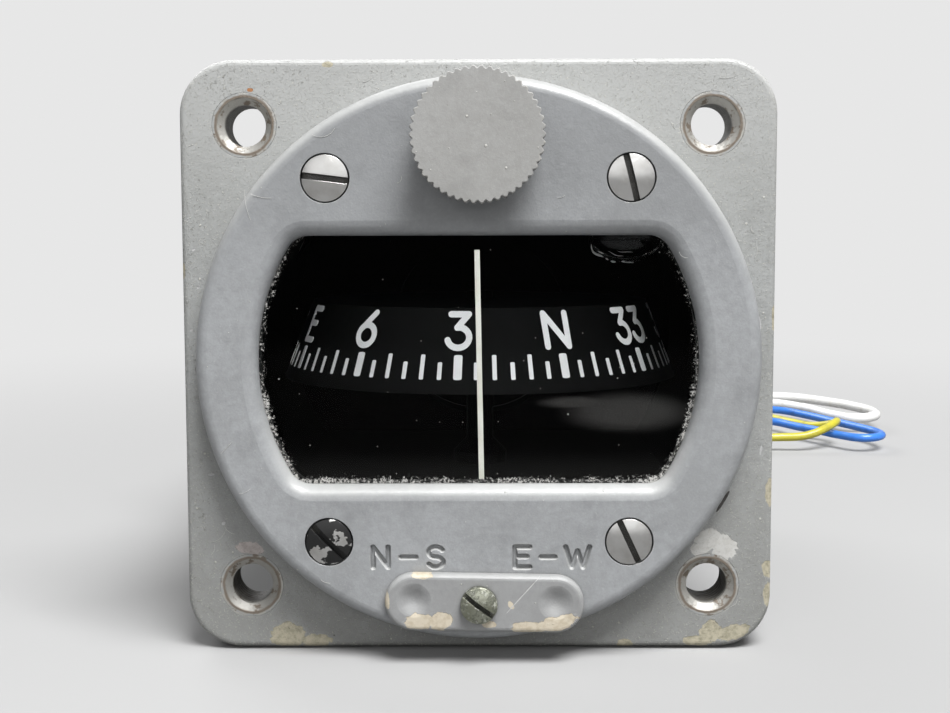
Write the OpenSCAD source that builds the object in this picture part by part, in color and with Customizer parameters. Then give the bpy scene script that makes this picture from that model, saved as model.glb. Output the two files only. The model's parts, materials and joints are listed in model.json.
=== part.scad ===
// Panel-mounted liquid magnetic compass for an aircraft, of the two and a quarter inch size.
// The origin is the centre of the panel screw pattern, on the front face of the flange.
// +X is to the viewer's right, +Y runs back into the case and +Z is up.

/* [Flange] */
// Width and height of the square flange
flange_w = 60.3; // [59:0.1:64]
// Thickness of the flange
flange_t = 5; // [3.5:0.1:7]
// Corner radius of the flange
flange_r = 5.5; // [3:0.1:7]
// Rounding along the front edge of the flange
flange_edge = 0.6; // [0.3:0.1:1.2]
// Distance between panel screw holes
hole_pitch = 47.14; // [46:0.01:49]
// Outside radius of a threaded insert
insert_r = 3.25; // [2.8:0.05:3.6]
// Bore radius of a threaded insert
insert_bore_r = 2.1; // [1.6:0.05:2.3]
// Chamfer at the mouth of an insert
insert_chamfer = 0.7; // [0.1:0.05:0.9]
// How far an insert stands out behind the flange
insert_proud = 0.6; // [0.2:0.1:2]

/* [Bezel] */
// Outside radius of the bezel
bezel_r = 28.3; // [27.5:0.1:28.5]
// Distance from the flange face to the bezel face
bezel_proud = 4; // [3.6:0.1:5.5]
// Depth of the seat that the bezel drops into
seat_depth = 0.5; // [0.3:0.1:1]
// Rounding of the bezel's front edge
bezel_edge = 1.2; // [1:0.1:2.6]
// Radius of the circle that the bezel screws stand on
bezel_screw_circle = 23.6; // [23.2:0.05:24.2]
// Angle of the bezel screws above and below level
bezel_screw_angle = 50.3; // [47:0.1:52]
// Head radius of a bezel screw
bezel_screw_head_r = 2.3; // [2:0.05:2.5]
// Head height of a bezel screw
bezel_screw_head_h = 1.6; // [1.2:0.1:1.8]
// Shank radius of a bezel screw
bezel_screw_r = 1.4; // [1:0.05:1.5]
// Length of bezel screw in the case
bezel_screw_hold = 8; // [5:0.5:12]

/* [Window] */
// Radius of the round sides of the window
window_r = 22.1; // [21:0.1:22.6]
// Height of the window between its level edges
window_h = 25; // [22:0.1:26]
// Radius of the window's corners
window_corner = 2.4; // [1.5:0.1:4]
// Rounding of the lip around the window
lip_round = 1.5; // [0.5:0.1:1.6]
// Thickness of the window glass
glass_t = 2.5; // [1.8:0.1:2.6]
// Overlap of the glass beyond the window, all round
glass_margin = 1.6; // [1:0.1:1.8]
// Thickness of the window gasket
gasket_t = 0.9; // [0.7:0.05:1.1]
// Depth of the gasket's recess in the case
gasket_seat = 0.6; // [0.3:0.05:0.9]
// Width of the lubber line
lubber_w = 0.55; // [0.3:0.05:1]
// Thickness of the lubber line
lubber_t = 0.4; // [0.2:0.05:0.6]
// Gap between the top of the lubber line and the window edge
lubber_short = 1.5; // [0.5:0.1:4]
// Distance of the lubber line from the middle
lubber_x = 0.25; // [0:0.05:0.5]
// Lean of the lubber line
lubber_lean = 1; // [0:0.1:2]

/* [Case] */
// Outside radius of the barrel
barrel_r = 27.7; // [27:0.1:29]
// Wall of the bowl at its sides
bowl_wall = 2; // [1.2:0.1:2.6]
// Thickness of the wall around the window
front_wall = 2.3; // [1.6:0.1:3]
// Thickness of the rear wall
rear_wall = 5.5; // [4.8:0.1:8]
// Radius of the expansion opening in the rear wall
expansion_r = 12; // [8:0.5:14]

/* [Card] */
// Gap between the card and the side of the bowl
card_side_gap = 2.7; // [2:0.1:5]
// Gap between the card and the lubber line
card_front_gap = 0.4; // [0.3:0.05:1.5]
// Gap between the card and the rear wall
card_rear_gap = 1.5; // [0.8:0.1:4]
// Height of the lower edge of the card
card_low = -4; // [-5:0.1:-3]
// Height of the graduated band
card_h = 8.8; // [7:0.1:10]
// How much narrower the top of the band is, in radius
card_taper = 3.4; // [2:0.1:6]
// Thickness of the card
card_t = 0.4; // [0.2:0.05:0.8]
// Radius of the float
float_r = 10; // [7:0.1:13]
// Height of the float
float_h = 6.9; // [6.2:0.1:7.4]
// Length of a card magnet
card_magnet_l = 14; // [9:0.5:16]
// Side of a card magnet
card_magnet_w = 2.5; // [1.5:0.1:3]
// Distance of a card magnet from the pivot
card_magnet_x = 4; // [3.6:0.1:5.5]
// Radius of the pivot pin
pivot_r = 0.6; // [0.4:0.05:0.8]
// Radius of the jewel post
post_r = 1.6; // [1.3:0.05:1.8]
// Radius of the jewel
jewel_r = 1; // [0.8:0.05:1.1]

/* [Lamp] */
// Radius of the lamp cap over its knurl
knob_r = 6.35; // [5:0.05:6.4]
// Thickness of the lamp cap's head
knob_t = 6; // [4:0.1:8]
// Distance of the head from the bezel face
knob_stand = 1.8; // [1:0.1:4]
// Number of knurls around the cap
knob_teeth = 50; // [30:1:60]
// Depth of the knurls
knurl_depth = 0.35; // [0.2:0.05:0.5]
// Outside radius of the cap's threaded tube
cap_tube_r = 3.85; // [3.7:0.05:4.1]
// Wall of the cap's threaded tube
cap_tube_wall = 0.8; // [0.5:0.05:0.9]
// Radius of the lamp bore in the case
lamp_bore_r = 4.3; // [4.25:0.05:4.5]
// Wall between the lamp bore and the outside of the barrel
lamp_wall = 1.5; // [1:0.1:2]
// Wall between the lamp bore and the bowl
lamp_web = 3.1; // [2:0.1:4]
// Depth of the lamp bore behind the flange face
lamp_bore_depth = 38; // [36:0.5:40]
// Radius of the wire duct
duct_r = 2.4; // [2.2:0.05:3]
// Radius of the bulb's glass
bulb_r = 2.85; // [2.4:0.05:2.9]
// Length of the bulb's glass
bulb_l = 10; // [8:0.5:11]
// Length of the bulb's metal base
bulb_base_l = 8; // [6:0.5:10]
// Radius of the window that lets lamp light into the bowl
light_window_r = 2.5; // [1.5:0.1:3]

/* [Compensator] */
// Distance of an adjuster from the middle
adjuster_x = 7.1; // [6.6:0.1:7.6]
// Radius of an adjuster's slotted head
adjuster_r = 1.4; // [1.2:0.05:1.5]
// Teeth of a spindle pinion
pinion_teeth = 8; // [8:1:9]
// Teeth of a magnet wheel
wheel_teeth = 20; // [18:1:22]
// Module of the bevel gears at their outer ends
gear_module = 0.45; // [0.4:0.01:0.48]
// Length of a tooth along its cone
tooth_l = 1.3; // [0.9:0.1:1.5]
// Radius of a spindle
spindle_r = 0.9; // [0.7:0.05:0.95]
// Radius of a wheel pin
wheel_pin_r = 0.8; // [0.6:0.05:0.9]
// Thickness of a wheel above its teeth
wheel_back = 1.3; // [1:0.1:1.6]
// Length of a compensating magnet
comp_magnet_l = 8; // [5:0.1:8.4]
// Width of a compensating magnet
comp_magnet_w = 2.4; // [2:0.1:3]
// Thickness of a compensating magnet
comp_magnet_t = 1.2; // [0.8:0.1:1.6]
// Thickness of the frame's top plate
frame_top_t = 1.8; // [1.2:0.1:2]
// Thickness of the frame's end plates
frame_end_t = 1.2; // [0.8:0.1:1.6]
// Wall of the barrel below the compensator
bay_wall = 1.3; // [1:0.1:1.8]
// Wall between the compensator and the bowl
bay_web = 1.7; // [1.5:0.1:2.5]

/* [Adjuster cover] */
// Height of the adjuster cover
cover_h = 5.8; // [5.8:0.1:6.4]
// Thickness of the adjuster cover
cover_t = 1.2; // [0.9:0.1:2]
// Rounding of the cover's front edge
cover_edge = 0.5; // [0.2:0.05:0.6]
// Drop of the cover below the adjusters
cover_drop = 1.3; // [0.8:0.05:1.3]
// Distance of the cover's middle from its screw
cover_shift = 0.55; // [0:0.05:0.6]
// Turn of the cover about its screw, as it was left
cover_tilt = 1; // [0:0.1:2]
// Depth of a dimple in the cover
dimple_depth = 0.5; // [0.2:0.05:0.6]
// Radius of a dimple
dimple_r = 2; // [1.4:0.1:2.1]
// Head radius of the cover screw
cover_screw_head_r = 1.85; // [1.2:0.05:2]
// Shank radius of the cover screw
cover_screw_r = 0.95; // [0.7:0.05:1]

/* [Rear] */
// Thickness of the rear cover
rear_cover_t = 6; // [5.5:0.1:9]
// Step between the barrel and the rear cover
rear_step = 0.5; // [0.4:0.1:1.5]
// Gap between the diaphragm and the grommet
diaphragm_gap = 0.9; // [0.4:0.1:2.5]
// Width of the diaphragm's clamped rim
diaphragm_rim = 3; // [2:0.1:4]
// Thickness of the diaphragm
diaphragm_t = 0.3; // [0.2:0.05:0.5]
// Number of corrugations in the diaphragm
diaphragm_waves = 3; // [2:1:5]
// Thickness of the rear gasket
rear_gasket_t = 0.8; // [0.5:0.1:1.2]
// Distance of the rear screws from the outside of the barrel
rear_screw_inset = 4.7; // [4.2:0.1:5.2]
// Number of rear screws
rear_screws_n = 6; // [3:3:6]
// Shank radius of a rear screw
rear_screw_r = 1.2; // [0.8:0.05:1.3]
// Depth of a rear screw in the case
rear_screw_hold = 3.8; // [2.5:0.1:4.2]
// Radius of the grommet's body
grommet_r = 3; // [2.6:0.05:3.4]
// Bore radius of the grommet
grommet_bore_r = 1.9; // [1.85:0.05:2.1]
// Radius of the filler plug's shank
filler_r = 2.2; // [1.6:0.1:2.6]
// Angle of the filler plug around the barrel
filler_angle = 155; // [150:1:165]

/* [Leads] */
// Radius of the white lead
white_r = 0.9; // [0.6:0.05:0.95]
// Radius of the blue and the yellow lead
colour_r = 0.7; // [0.5:0.05:0.72]
// Length of bare copper at the end of a lead
bare_l = 5; // [2:0.5:6]

/* [Hidden] */
$fn = 96;

// Clearances: set means fixed together, run means turning or sliding
set_fit = 0.02;
run_fit = 0.05;
loose_fit = 0.15;
// Gap around a piece that drops into a seat
seat_fit = 0.1;
// Length by which a cutter runs past the face that it opens
over = 1;
// Depth of a drilled hole past the end of its screw
drill_past = 0.5;

// Stations along Y
bezel_face = -bezel_proud;
gasket_back = seat_depth + gasket_seat;
glass_back = gasket_back - gasket_t;
glass_front = glass_back - glass_t;
lip_land = 0.1;
lip = min(lip_round, glass_front - bezel_face - lip_land);
front_wall_back = seat_depth + front_wall;
lubber_front = gasket_back + seat_fit;
lubber_back = lubber_front + lubber_t;

// Bowl and card
bowl_r = barrel_r - bowl_wall;
card_r = bowl_r - card_side_gap;
card_top = card_low + card_h;
card_top_r = card_r - card_taper;
card_y = lubber_back + card_front_gap + card_r;
bowl_back = card_y + card_r + card_rear_gap;
case_back = bowl_back + rear_wall;
float_top = card_top - card_t;
float_low = float_top - float_h;
post_gap = 0.8;
float_hole_r = post_r + post_gap;
float_roof_t = 2.4;
jewel_t = 0.8;
jewel_cup = 0.4;
pivot_l = 3;
post_top = float_top - float_roof_t - pivot_l;
jewel_sink = 0.1;
jewel_top = post_top - jewel_sink;
pivot_lift = 0.03;
pivot_tip = jewel_top - jewel_cup + pivot_lift;
pivot_cone = 0.9;
nut_h = 1;
nut_r = 1.5;
pivot_past_nut = 0.5;
post_foot = 1.2;
post_foot_r = 1;
post_collar_h = 1.2;

// Outline of the window: centre and angle of its corner arcs
window_cz = window_h / 2 - window_corner;
window_cx = sqrt(pow(window_r - window_corner, 2) - pow(window_cz, 2));
window_angle = atan2(window_cz, window_cx);
aperture_grow = 0.2;
lip_steps = 5;

// Fasteners of the bezel, with the angles at which their slots came to rest
bezel_screw_x = bezel_screw_circle * cos(bezel_screw_angle);
bezel_screw_z = bezel_screw_circle * sin(bezel_screw_angle);
bezel_screw_places = [
  [-bezel_screw_x, bezel_screw_z, 7],
  [bezel_screw_x, bezel_screw_z, 76],
  [-bezel_screw_x, -bezel_screw_z, 45],
  [bezel_screw_x, -bezel_screw_z, 65]
];
screw_dome = 0.35;
screw_slot_w = 0.62;
screw_slot_d = 0.7;
cover_screw_slot_turn = 37;

// Lamp
lamp_z = barrel_r - lamp_wall - lamp_bore_r;
bowl_top = lamp_z - lamp_bore_r - lamp_web;
knob_back = bezel_face - knob_stand;
knob_front = knob_back - knob_t;
knob_chamfer = 0.4;
collar_step = 0.95;
collar_r = cap_tube_r + collar_step;
cap_tube_in_r = cap_tube_r - cap_tube_wall;
bulb_front = 4;
bulb_back = bulb_front + bulb_l;
bulb_flange_step = 0.3;
bulb_flange_r = cap_tube_in_r + bulb_flange_step;
bulb_flange_t = 0.8;
base_skin = 0.05;
base_r = bulb_r + base_skin;
base_chamfer = 0.6;
base_back = bulb_back + bulb_base_l;
socket_front = bulb_back + bulb_flange_t + run_fit;
block_t = 4;
block_front = lamp_bore_depth - block_t;
contact_r = 0.9;
contact_foot = 1.5;
contact_gap = 0.2;
contact_chamfer = 0.4;
light_window_y = bulb_front + bulb_l / 2;
light_window_drop = 0.2;

// Bevel gears: pitch radii, cone length and tooth heights
pinion_r = gear_module * pinion_teeth / 2;
wheel_r = gear_module * wheel_teeth / 2;
cone_l = norm([pinion_r, wheel_r]);
inner_scale = 1 - tooth_l / cone_l;
tooth_add = 0.85 * gear_module;
tooth_ded = 1.07 * gear_module;
tooth_w = 1.05 * gear_module;
tooth_flank = 20;
tooth_sink = 0.1;
pinion_tip_r = pinion_r + tooth_add * wheel_r / cone_l;
pinion_root_r = pinion_r - tooth_ded * wheel_r / cone_l;
pinion_root_a = wheel_r + tooth_ded * pinion_r / cone_l;
wheel_root_r = wheel_r - tooth_ded * pinion_r / cone_l;
wheel_root_a = pinion_r + tooth_ded * wheel_r / cone_l;
wheel_rim = 0.25;
wheel_out_r = wheel_r + wheel_rim;
wheel_rim_rise = 0.15;

// Compensator bay, from the spindle upwards and from the bezel backwards
bay_r = barrel_r - bay_wall;
bay_gap = 0.27;
adjuster_z = -sqrt(pow(bay_r - bay_gap - pinion_tip_r, 2) - pow(adjuster_x, 2));
wheel_top = adjuster_z + pinion_r + wheel_back;
magnet_top = wheel_top + comp_magnet_t;
magnet_gap = 0.5;
frame_low = magnet_top + magnet_gap;
frame_top = frame_low + frame_top_t;
bay_top = frame_top + seat_fit;
bowl_floor = bay_top + bay_web;
bay_side = 1.05;
bay_half = adjuster_x + wheel_out_r + bay_side;
frame_front = gasket_back + seat_fit;
collar_front = seat_depth + run_fit;
wheel_gap = 0.6;
front_wheel_y = frame_front + frame_end_t + wheel_gap + wheel_out_r;
pinion_hub = 1.6;
rear_wheel_y = front_wheel_y + 2 * wheel_r + pinion_hub;
frame_back = rear_wheel_y + wheel_out_r + wheel_gap + frame_end_t;
bay_back = frame_back + run_fit;
wheel_low = adjuster_z + inner_scale * wheel_root_a;
pin_head_step = 0.5;
pin_head_r = wheel_pin_r + pin_head_step;
pin_head_t = 0.45;
adjuster_sink = 0.6;
spindle_collar_step = 0.3;
spindle_collar_r = adjuster_r + spindle_collar_step;
spindle_collar_t = 0.65;
spindle_shoulder = 0.1;
spindle_end_r = spindle_r - spindle_shoulder;
adjuster_slot_w = 0.6;
adjuster_slot_d = 0.6;

// Adjuster cover
cover_z = adjuster_z - cover_drop;
cover_back = bezel_face - run_fit;
cover_front = cover_back - cover_t;
dimple_rise = 0.25;
dimple_lip = 0.02;
dimple_steps = 8;
cover_screw_head_h = 0.7;
cover_screw_dome = 0.45;
cover_screw_slot_w = 0.5;
cover_screw_slot_d = 0.35;

// Rear end
rear_cover_r = barrel_r - rear_step;
rear_face = case_back + rear_cover_t;
rear_rounding = 1;
diaphragm_front = case_back + rear_gasket_t;
diaphragm_back = diaphragm_front + diaphragm_t;
diaphragm_r = lamp_z - grommet_r - diaphragm_gap;
diaphragm_in_r = diaphragm_r - diaphragm_rim;
diaphragm_wave_h = 0.6;
diaphragm_flat = 1;
cover_wall = 1.5;
vent_r = 0.8;
rear_screw_circle = barrel_r - rear_screw_inset;
rear_head_step = 0.85;
rear_head_r = rear_screw_r + rear_head_step;
rear_head_h = 1.4;
rear_head_sink = 0.2;
rear_head_dome = 0.2;
rear_slot_w = 0.55;
rear_slot_d = 0.6;
grommet_lip_w = 0.9;
grommet_lip_r = grommet_r + grommet_lip_w;
grommet_lip_t = 1.2;
grommet_taper = 0.4;
grommet_flare = 0.2;
filler_back = 11;
filler_y = case_back - filler_back;
filler_boss_wall = 2;
filler_boss_r = filler_r + filler_boss_wall;
filler_boss_proud = 0.6;
filler_boss_top = barrel_r + filler_boss_proud;
filler_seal_t = 0.6;
filler_head_t = 1.7;
filler_head_step = 1.2;
filler_head_r = filler_r + filler_head_step;
filler_chamfer = 0.3;
filler_slot_w = 0.9;
filler_slot_d = 0.8;
filler_sink = 0.4;

// Routes of the lamp leads: straight through the duct, a fall from the exit, then loops on the table
lead_rise = 0.7;
lead_side = 0.75;
duct_stations = [lamp_bore_depth, case_back - 3, rear_face + 1];
function lead_route(x, z, fall, loops) =
  concat([for (y = duct_stations) [x, y, lamp_z + z]], [for (p = fall) p + [0, rear_face, lamp_z]], loops);
white_fall = [
  [0, 5, 0.6], [0.5, 11, -0.4], [1.5, 17, -2.9], [2.5, 23, -6.9], [4, 29, -12.4], [6, 35, -18.9],
  [8, 41, -25.9]
];
white_loops = [
  [11, 108, -11], [15, 114, -17], [20.5, 120, -21], [27, 126, -22.6], [35, 132, -22.5],
  [44, 137, -22.4], [53, 139.5, -22.2], [60.5, 138.5, -22.2], [66.5, 134, -22.5], [71, 128, -22.8],
  [73, 121.8, -23.1], [71.8, 117.4, -23.3], [68, 115.8, -23.4], [65, 119, -23.3],
  [61, 127, -22.9], [55.5, 132, -22.6], [48, 132.5, -22.6], [41, 129.5, -22.7], [34.5, 124.5, -23],
  [28, 119, -23.2]
];
blue_fall = [
  [0.75, 5, -0.9], [1.5, 10, -1.9], [3, 15, -4.4], [5.5, 20, -8.9], [8.5, 25, -14.9], [12, 30, -21.9]
];
blue_loops = [
  [16, 96, -7.5], [20.5, 101, -14.5], [26, 106.5, -20], [32, 112, -23], [38, 117.5, -23.5],
  [44, 122.5, -23.3], [50, 126, -23.1], [55.5, 125.5, -23.1], [60, 120.5, -23.4], [63.5, 114, -23.7],
  [67, 107.5, -24], [69, 103, -24.3], [68.2, 99.6, -24.4], [65, 98.6, -24.5], [61.8, 101.5, -24.4],
  [59.3, 105, -24.2], [56, 109.5, -24], [52.5, 114, -23.7], [48, 116, -23.6], [42.5, 114, -23.7],
  [37.5, 109.5, -23.9]
];
yellow_fall = [
  [-0.75, 4, -0.9], [0, 8, -2.1], [1.5, 12, -4.9], [4, 16, -9.4], [7, 19.5, -14.9], [11, 23, -21.4]
];
yellow_loops = [
  [15.5, 87, -6.5], [20.5, 90, -13], [26, 92.5, -18.5], [32, 95, -22.5], [38.5, 97.2, -24.4],
  [45, 99, -24.5], [51, 99.6, -24.5], [55.5, 99.4, -24.2], [59, 100.6, -23.2], [61.6, 103.2, -22.3],
  [61.8, 106.6, -23.1], [59.2, 109.4, -23.9], [56, 113.5, -23.8], [53, 118.2, -23.6], [48.5, 120.6, -23.4],
  [43, 118.3, -23.5], [38.5, 114.5, -23.7]
];
white_route = lead_route(0, lead_rise, white_fall, white_loops);
blue_route = lead_route(lead_side, -lead_side, blue_fall, blue_loops);
yellow_route = lead_route(-lead_side, -lead_side, yellow_fall, yellow_loops);
bare_r = 0.4;
lead_sides = 8;

// Point at angle a on a circle, and the points of an arc in n steps
function on_circle(c, r, a) = c + r * [cos(a), sin(a)];
function arc(c, r, a0, a1, n) = [for (i = [0 : n]) on_circle(c, r, a0 + (a1 - a0) * i / n)];
function unit(v) = v / norm(v);

// Turns local z into +Y
module along_y() {
  rotate([-90, 0, 0]) children();
}

// Extrudes a front view, drawn as [x, z], from y0 to y1
module slab(y0, y1) {
  translate([0, y1, 0]) rotate([90, 0, 0]) linear_extrude(y1 - y0) children();
}

// Round bar along Y
module rod(r, y0, y1) {
  translate([0, y0, 0]) along_y() cylinder(r = r, h = y1 - y0);
}

// Solid of revolution about Y from points [radius, y]
module turned(points) {
  along_y() rotate_extrude() polygon(points);
}

// Ring along Y
module ring(r_out, r_in, y0, y1) {
  turned([[r_in, y0], [r_out, y0], [r_out, y1], [r_in, y1]]);
}

module at(x, z) {
  translate([x, 0, z]) children();
}

module at_corners(pitch) {
  for (x = [-pitch, pitch] / 2, z = [-pitch, pitch] / 2) at(x, z) children();
}

module at_bezel_screws() {
  for (p = bezel_screw_places) at(p[0], p[1]) rotate([0, p[2], 0]) children();
}

module at_rear_screws() {
  for (i = [0 : rear_screws_n - 1])
    rotate([0, -360 * i / rear_screws_n, 0]) at(rear_screw_circle, 0) children();
}

// Stands a piece on the barrel at the filler, with its own +Y pointing out of the barrel
module at_filler() {
  translate([0, filler_y, 0]) rotate([0, 90 - filler_angle, 0]) rotate([90, 0, 0]) children();
}

// Profile of [growth, y] points set at radius r; core fills it in to the axis
function set_out(side, r, core) =
  concat(core ? [[0, side[0][1]]] : [], [for (p = side) [r + p[0], p[1]]],
         core ? [[0, side[len(side) - 1][1]]] : []);

// Sweeps such a profile along the round sides and the level edges of the window
module window_edges(side, core) {
  along_y() {
    for (turn = [0, 180]) rotate(turn)
      rotate_extrude(angle = 2 * window_angle, start = -window_angle) polygon(set_out(side, window_r, core));
    for (sy = [0, 1]) mirror([0, sy, 0]) rotate([90, 0, 90])
      linear_extrude(2 * window_cx, center = true) polygon(set_out(side, window_h / 2, core));
  }
}

// Sweeps it around the four corners of the window
module window_corners(side, core) {
  along_y() for (sx = [0, 1], sy = [0, 1]) mirror([sx, 0, 0]) mirror([0, sy, 0])
    translate([window_cx, window_cz, 0]) rotate_extrude(angle = 90 - window_angle, start = window_angle)
      polygon(set_out(side, window_corner, core));
}

module window_sweep(side, core) {
  window_edges(side, core);
  window_corners(side, core);
}

// Block with the outline of the window grown evenly by g
module window_block(g, y0, y1) {
  window_sweep([[g, y0], [g, y1]], true);
}

// Slotted screw with the rim of its head at y = 0 and its shank along +Y
module slotted_screw(head_r, head_h, shank_r, length, dome, slot_w, slot_d) {
  ball_r = (head_r * head_r + dome * dome) / (2 * dome);
  difference() {
    union() {
      intersection() {
        rod(head_r, -over, head_h);
        translate([0, ball_r - dome, 0]) sphere(ball_r);
      }
      rod(shank_r, head_h, length);
    }
    translate([-head_r - over, -dome - over, -slot_w / 2])
      cube([2 * (head_r + over), dome + over + slot_d, slot_w]);
  }
}

// Outline of the bowl in front view
module bowl_outline() {
  intersection() {
    circle(bowl_r);
    translate([-barrel_r, bowl_floor]) square([2 * barrel_r, bowl_top - bowl_floor]);
  }
}

// Outline of the compensator bay in front view, shrunk by g
module bay_outline(g) {
  intersection() {
    circle(bay_r - g);
    translate([g - bay_half, -barrel_r]) square([2 * (bay_half - g), barrel_r + bay_top - g]);
  }
}

// Square plate with round corners and a rounded front edge
module flange_plate() {
  side = flange_w - 2 * flange_r;
  edge = concat([[0, flange_t], [0, 0]], arc([flange_r - flange_edge, flange_edge], flange_edge, -90, 0, 4),
                [[flange_r, flange_t]]);
  along_y() {
    translate([0, 0, flange_t / 2]) cube([side, side, flange_t], center = true);
    for (turn = [0 : 90 : 270]) rotate(turn) {
      translate([side / 2, 0, 0]) rotate([90, 0, 0]) linear_extrude(side, center = true) polygon(edge);
      translate([side / 2, side / 2, 0]) rotate_extrude(angle = 90, start = 0) polygon(edge);
    }
  }
}

module case_body() {
  color("#6f7470") difference() {
    union() {
      flange_plate();
      rod(barrel_r, flange_t - over, case_back);
      at_filler() rod(filler_boss_r, bowl_r - over, filler_boss_top);
    }
    rod(bezel_r + seat_fit, -over, seat_depth);
    at_corners(hole_pitch) rod(insert_r + set_fit, -over, flange_t + over);
    at_bezel_screws() rod(bezel_screw_r + set_fit, -over, seat_depth + bezel_screw_hold + drill_past);
    window_block(glass_margin + loose_fit, -over, gasket_back);
    window_block(aperture_grow, -over, front_wall_back + over);
    slab(front_wall_back, bowl_back) bowl_outline();
    rod(expansion_r, bowl_back - over, case_back + over);
    at(0, lamp_z) rod(lamp_bore_r, -over, lamp_bore_depth);
    at(0, lamp_z) rod(duct_r, lamp_bore_depth - over, case_back + over);
    translate([0, light_window_y, bowl_top - over])
      cylinder(r = light_window_r + set_fit, h = lamp_z - bowl_top + over);
    slab(-over, bay_back) bay_outline(0);
    at_rear_screws() rod(rear_screw_r + set_fit, case_back - rear_screw_hold - drill_past, case_back + over);
    at_filler() rod(filler_r + set_fit, bowl_r - 3 * over, filler_boss_top + over);
    translate([0, card_y, bowl_floor - post_foot]) cylinder(r = post_foot_r + set_fit, h = post_foot + over);
  }
}

module bezel() {
  rim = concat([[0, seat_depth], [bezel_r, seat_depth]],
               arc([bezel_r - bezel_edge, bezel_face + bezel_edge], bezel_edge, 0, -90, 7),
               [[0, bezel_face]]);
  lip_side = concat([[lip, bezel_face - over]],
                    arc([lip, bezel_face + lip], lip, 270, 180, lip_steps),
                    [[0, glass_front + over]]);
  color("#7d8386") difference() {
    difference() {
      turned(rim);
      window_edges(lip_side, true);
    }
    window_corners(lip_side, true);
    window_block(glass_margin + loose_fit, glass_front, seat_depth + over);
    at_bezel_screws() {
      rod(bezel_screw_head_r + loose_fit, bezel_face - over, bezel_face + bezel_screw_head_h);
      rod(bezel_screw_r + run_fit, bezel_face, seat_depth + over);
    }
    at(0, lamp_z) rod(cap_tube_r + run_fit, bezel_face - over, seat_depth + over);
    for (x = [-adjuster_x, adjuster_x])
      at(x, adjuster_z) rod(adjuster_r + run_fit, bezel_face - over, seat_depth + over);
    at(0, cover_z) rod(cover_screw_r + set_fit, bezel_face - over, seat_depth + over);
  }
}

module window_glass() {
  color("#20282c", 0.4) window_block(glass_margin, glass_front, glass_back);
}

module window_gasket() {
  color("#1b1b1b") window_sweep([[aperture_grow, glass_back], [glass_margin, glass_back],
                                 [glass_margin, gasket_back], [aperture_grow, gasket_back]], false);
}

module bezel_screws() {
  color("#b4b3ad") at_bezel_screws() translate([0, bezel_face, 0])
    slotted_screw(bezel_screw_head_r, bezel_screw_head_h, bezel_screw_r,
                  bezel_proud + seat_depth + bezel_screw_hold, screw_dome, screw_slot_w, screw_slot_d);
}

module mounting_inserts() {
  mouth = insert_bore_r + insert_chamfer;
  color("#9a9a92") at_corners(hole_pitch)
    turned([[mouth, 0], [insert_r, 0], [insert_r, flange_t + insert_proud],
            [insert_bore_r, flange_t + insert_proud], [insert_bore_r, insert_chamfer]]);
}

// Thin strip that stands on the floor of the window aperture
module lubber_line() {
  floor_z = -window_h / 2 - aperture_grow;
  strip_l = window_h + aperture_grow - lubber_short;
  foot_h = 0.5;
  color("#e9e4cf") at(lubber_x, floor_z) {
    translate([0, lubber_front, foot_h]) rotate([0, -lubber_lean, 0])
      translate([-lubber_w / 2, 0, -foot_h / 2]) cube([lubber_w, lubber_t, strip_l - foot_h / 2]);
    translate([-lubber_w / 2, lubber_front, 0]) cube([lubber_w, front_wall_back - lubber_front, foot_h]);
  }
}

// Turned about the card's own upright axis from points [radius, z]
module on_pivot(points) {
  translate([0, card_y, 0]) rotate_extrude() polygon(points);
}

module jewel_post() {
  seat = jewel_top - jewel_t;
  collar_top = bowl_floor + post_collar_h;
  color("#b08d4a") on_pivot([[0, bowl_floor - post_foot], [post_foot_r, bowl_floor - post_foot],
    [post_foot_r, bowl_floor], [2 * post_r, bowl_floor], [2 * post_r, collar_top],
    [post_r, collar_top + post_r], [post_r, post_top], [jewel_r + set_fit, post_top],
    [jewel_r + set_fit, seat], [0, seat]]);
}

module jewel() {
  color("#a33a4a") on_pivot([[0, jewel_top - jewel_t], [jewel_r, jewel_top - jewel_t], [jewel_r, jewel_top],
    [0.7 * jewel_r, jewel_top], [0, jewel_top - jewel_cup]]);
}

// Conical band with a closed top
module compass_card() {
  color("#101010") on_pivot([[pivot_r + set_fit, float_top], [card_top_r - card_t, float_top],
    [card_r - card_t, card_low], [card_r, card_low], [card_top_r, card_top], [pivot_r + set_fit, card_top]]);
}

// Ring float, open below so that the jewel post can reach the pivot
module float() {
  roof = float_top - float_roof_t;
  color("#3a3a3a") on_pivot([[pivot_r + set_fit, float_top], [float_r, float_top], [float_r, float_low],
    [float_hole_r, float_low], [float_hole_r, roof], [pivot_r + set_fit, roof]]);
}

module card_magnets() {
  color("#55585a") for (x = [-card_magnet_x, card_magnet_x])
    translate([x, card_y, float_low - card_magnet_w / 2])
      cube([card_magnet_w, card_magnet_l, card_magnet_w], center = true);
}

module pivot() {
  top = card_top + nut_h + pivot_past_nut;
  color("#c9c9c4") on_pivot([[0, pivot_tip], [pivot_r, pivot_tip + pivot_cone], [pivot_r, top], [0, top]]);
}

module card_nut() {
  color("#b08d4a") translate([0, card_y, card_top]) difference() {
    cylinder(r = nut_r, h = nut_h, $fn = 6);
    translate([0, 0, -over]) cylinder(r = pivot_r + set_fit, h = nut_h + 2 * over);
  }
}

// Outline of the knurled cap
module knurl_outline() {
  step = 360 / knob_teeth;
  polygon([for (i = [0 : knob_teeth - 1], k = [0 : 3])
    let (r = k < 2 ? knob_r : knob_r - knurl_depth, a = step * (i + [-0.17, 0.17, 0.42, 0.58][k]))
      r * [cos(a), sin(a)]]);
}

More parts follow.
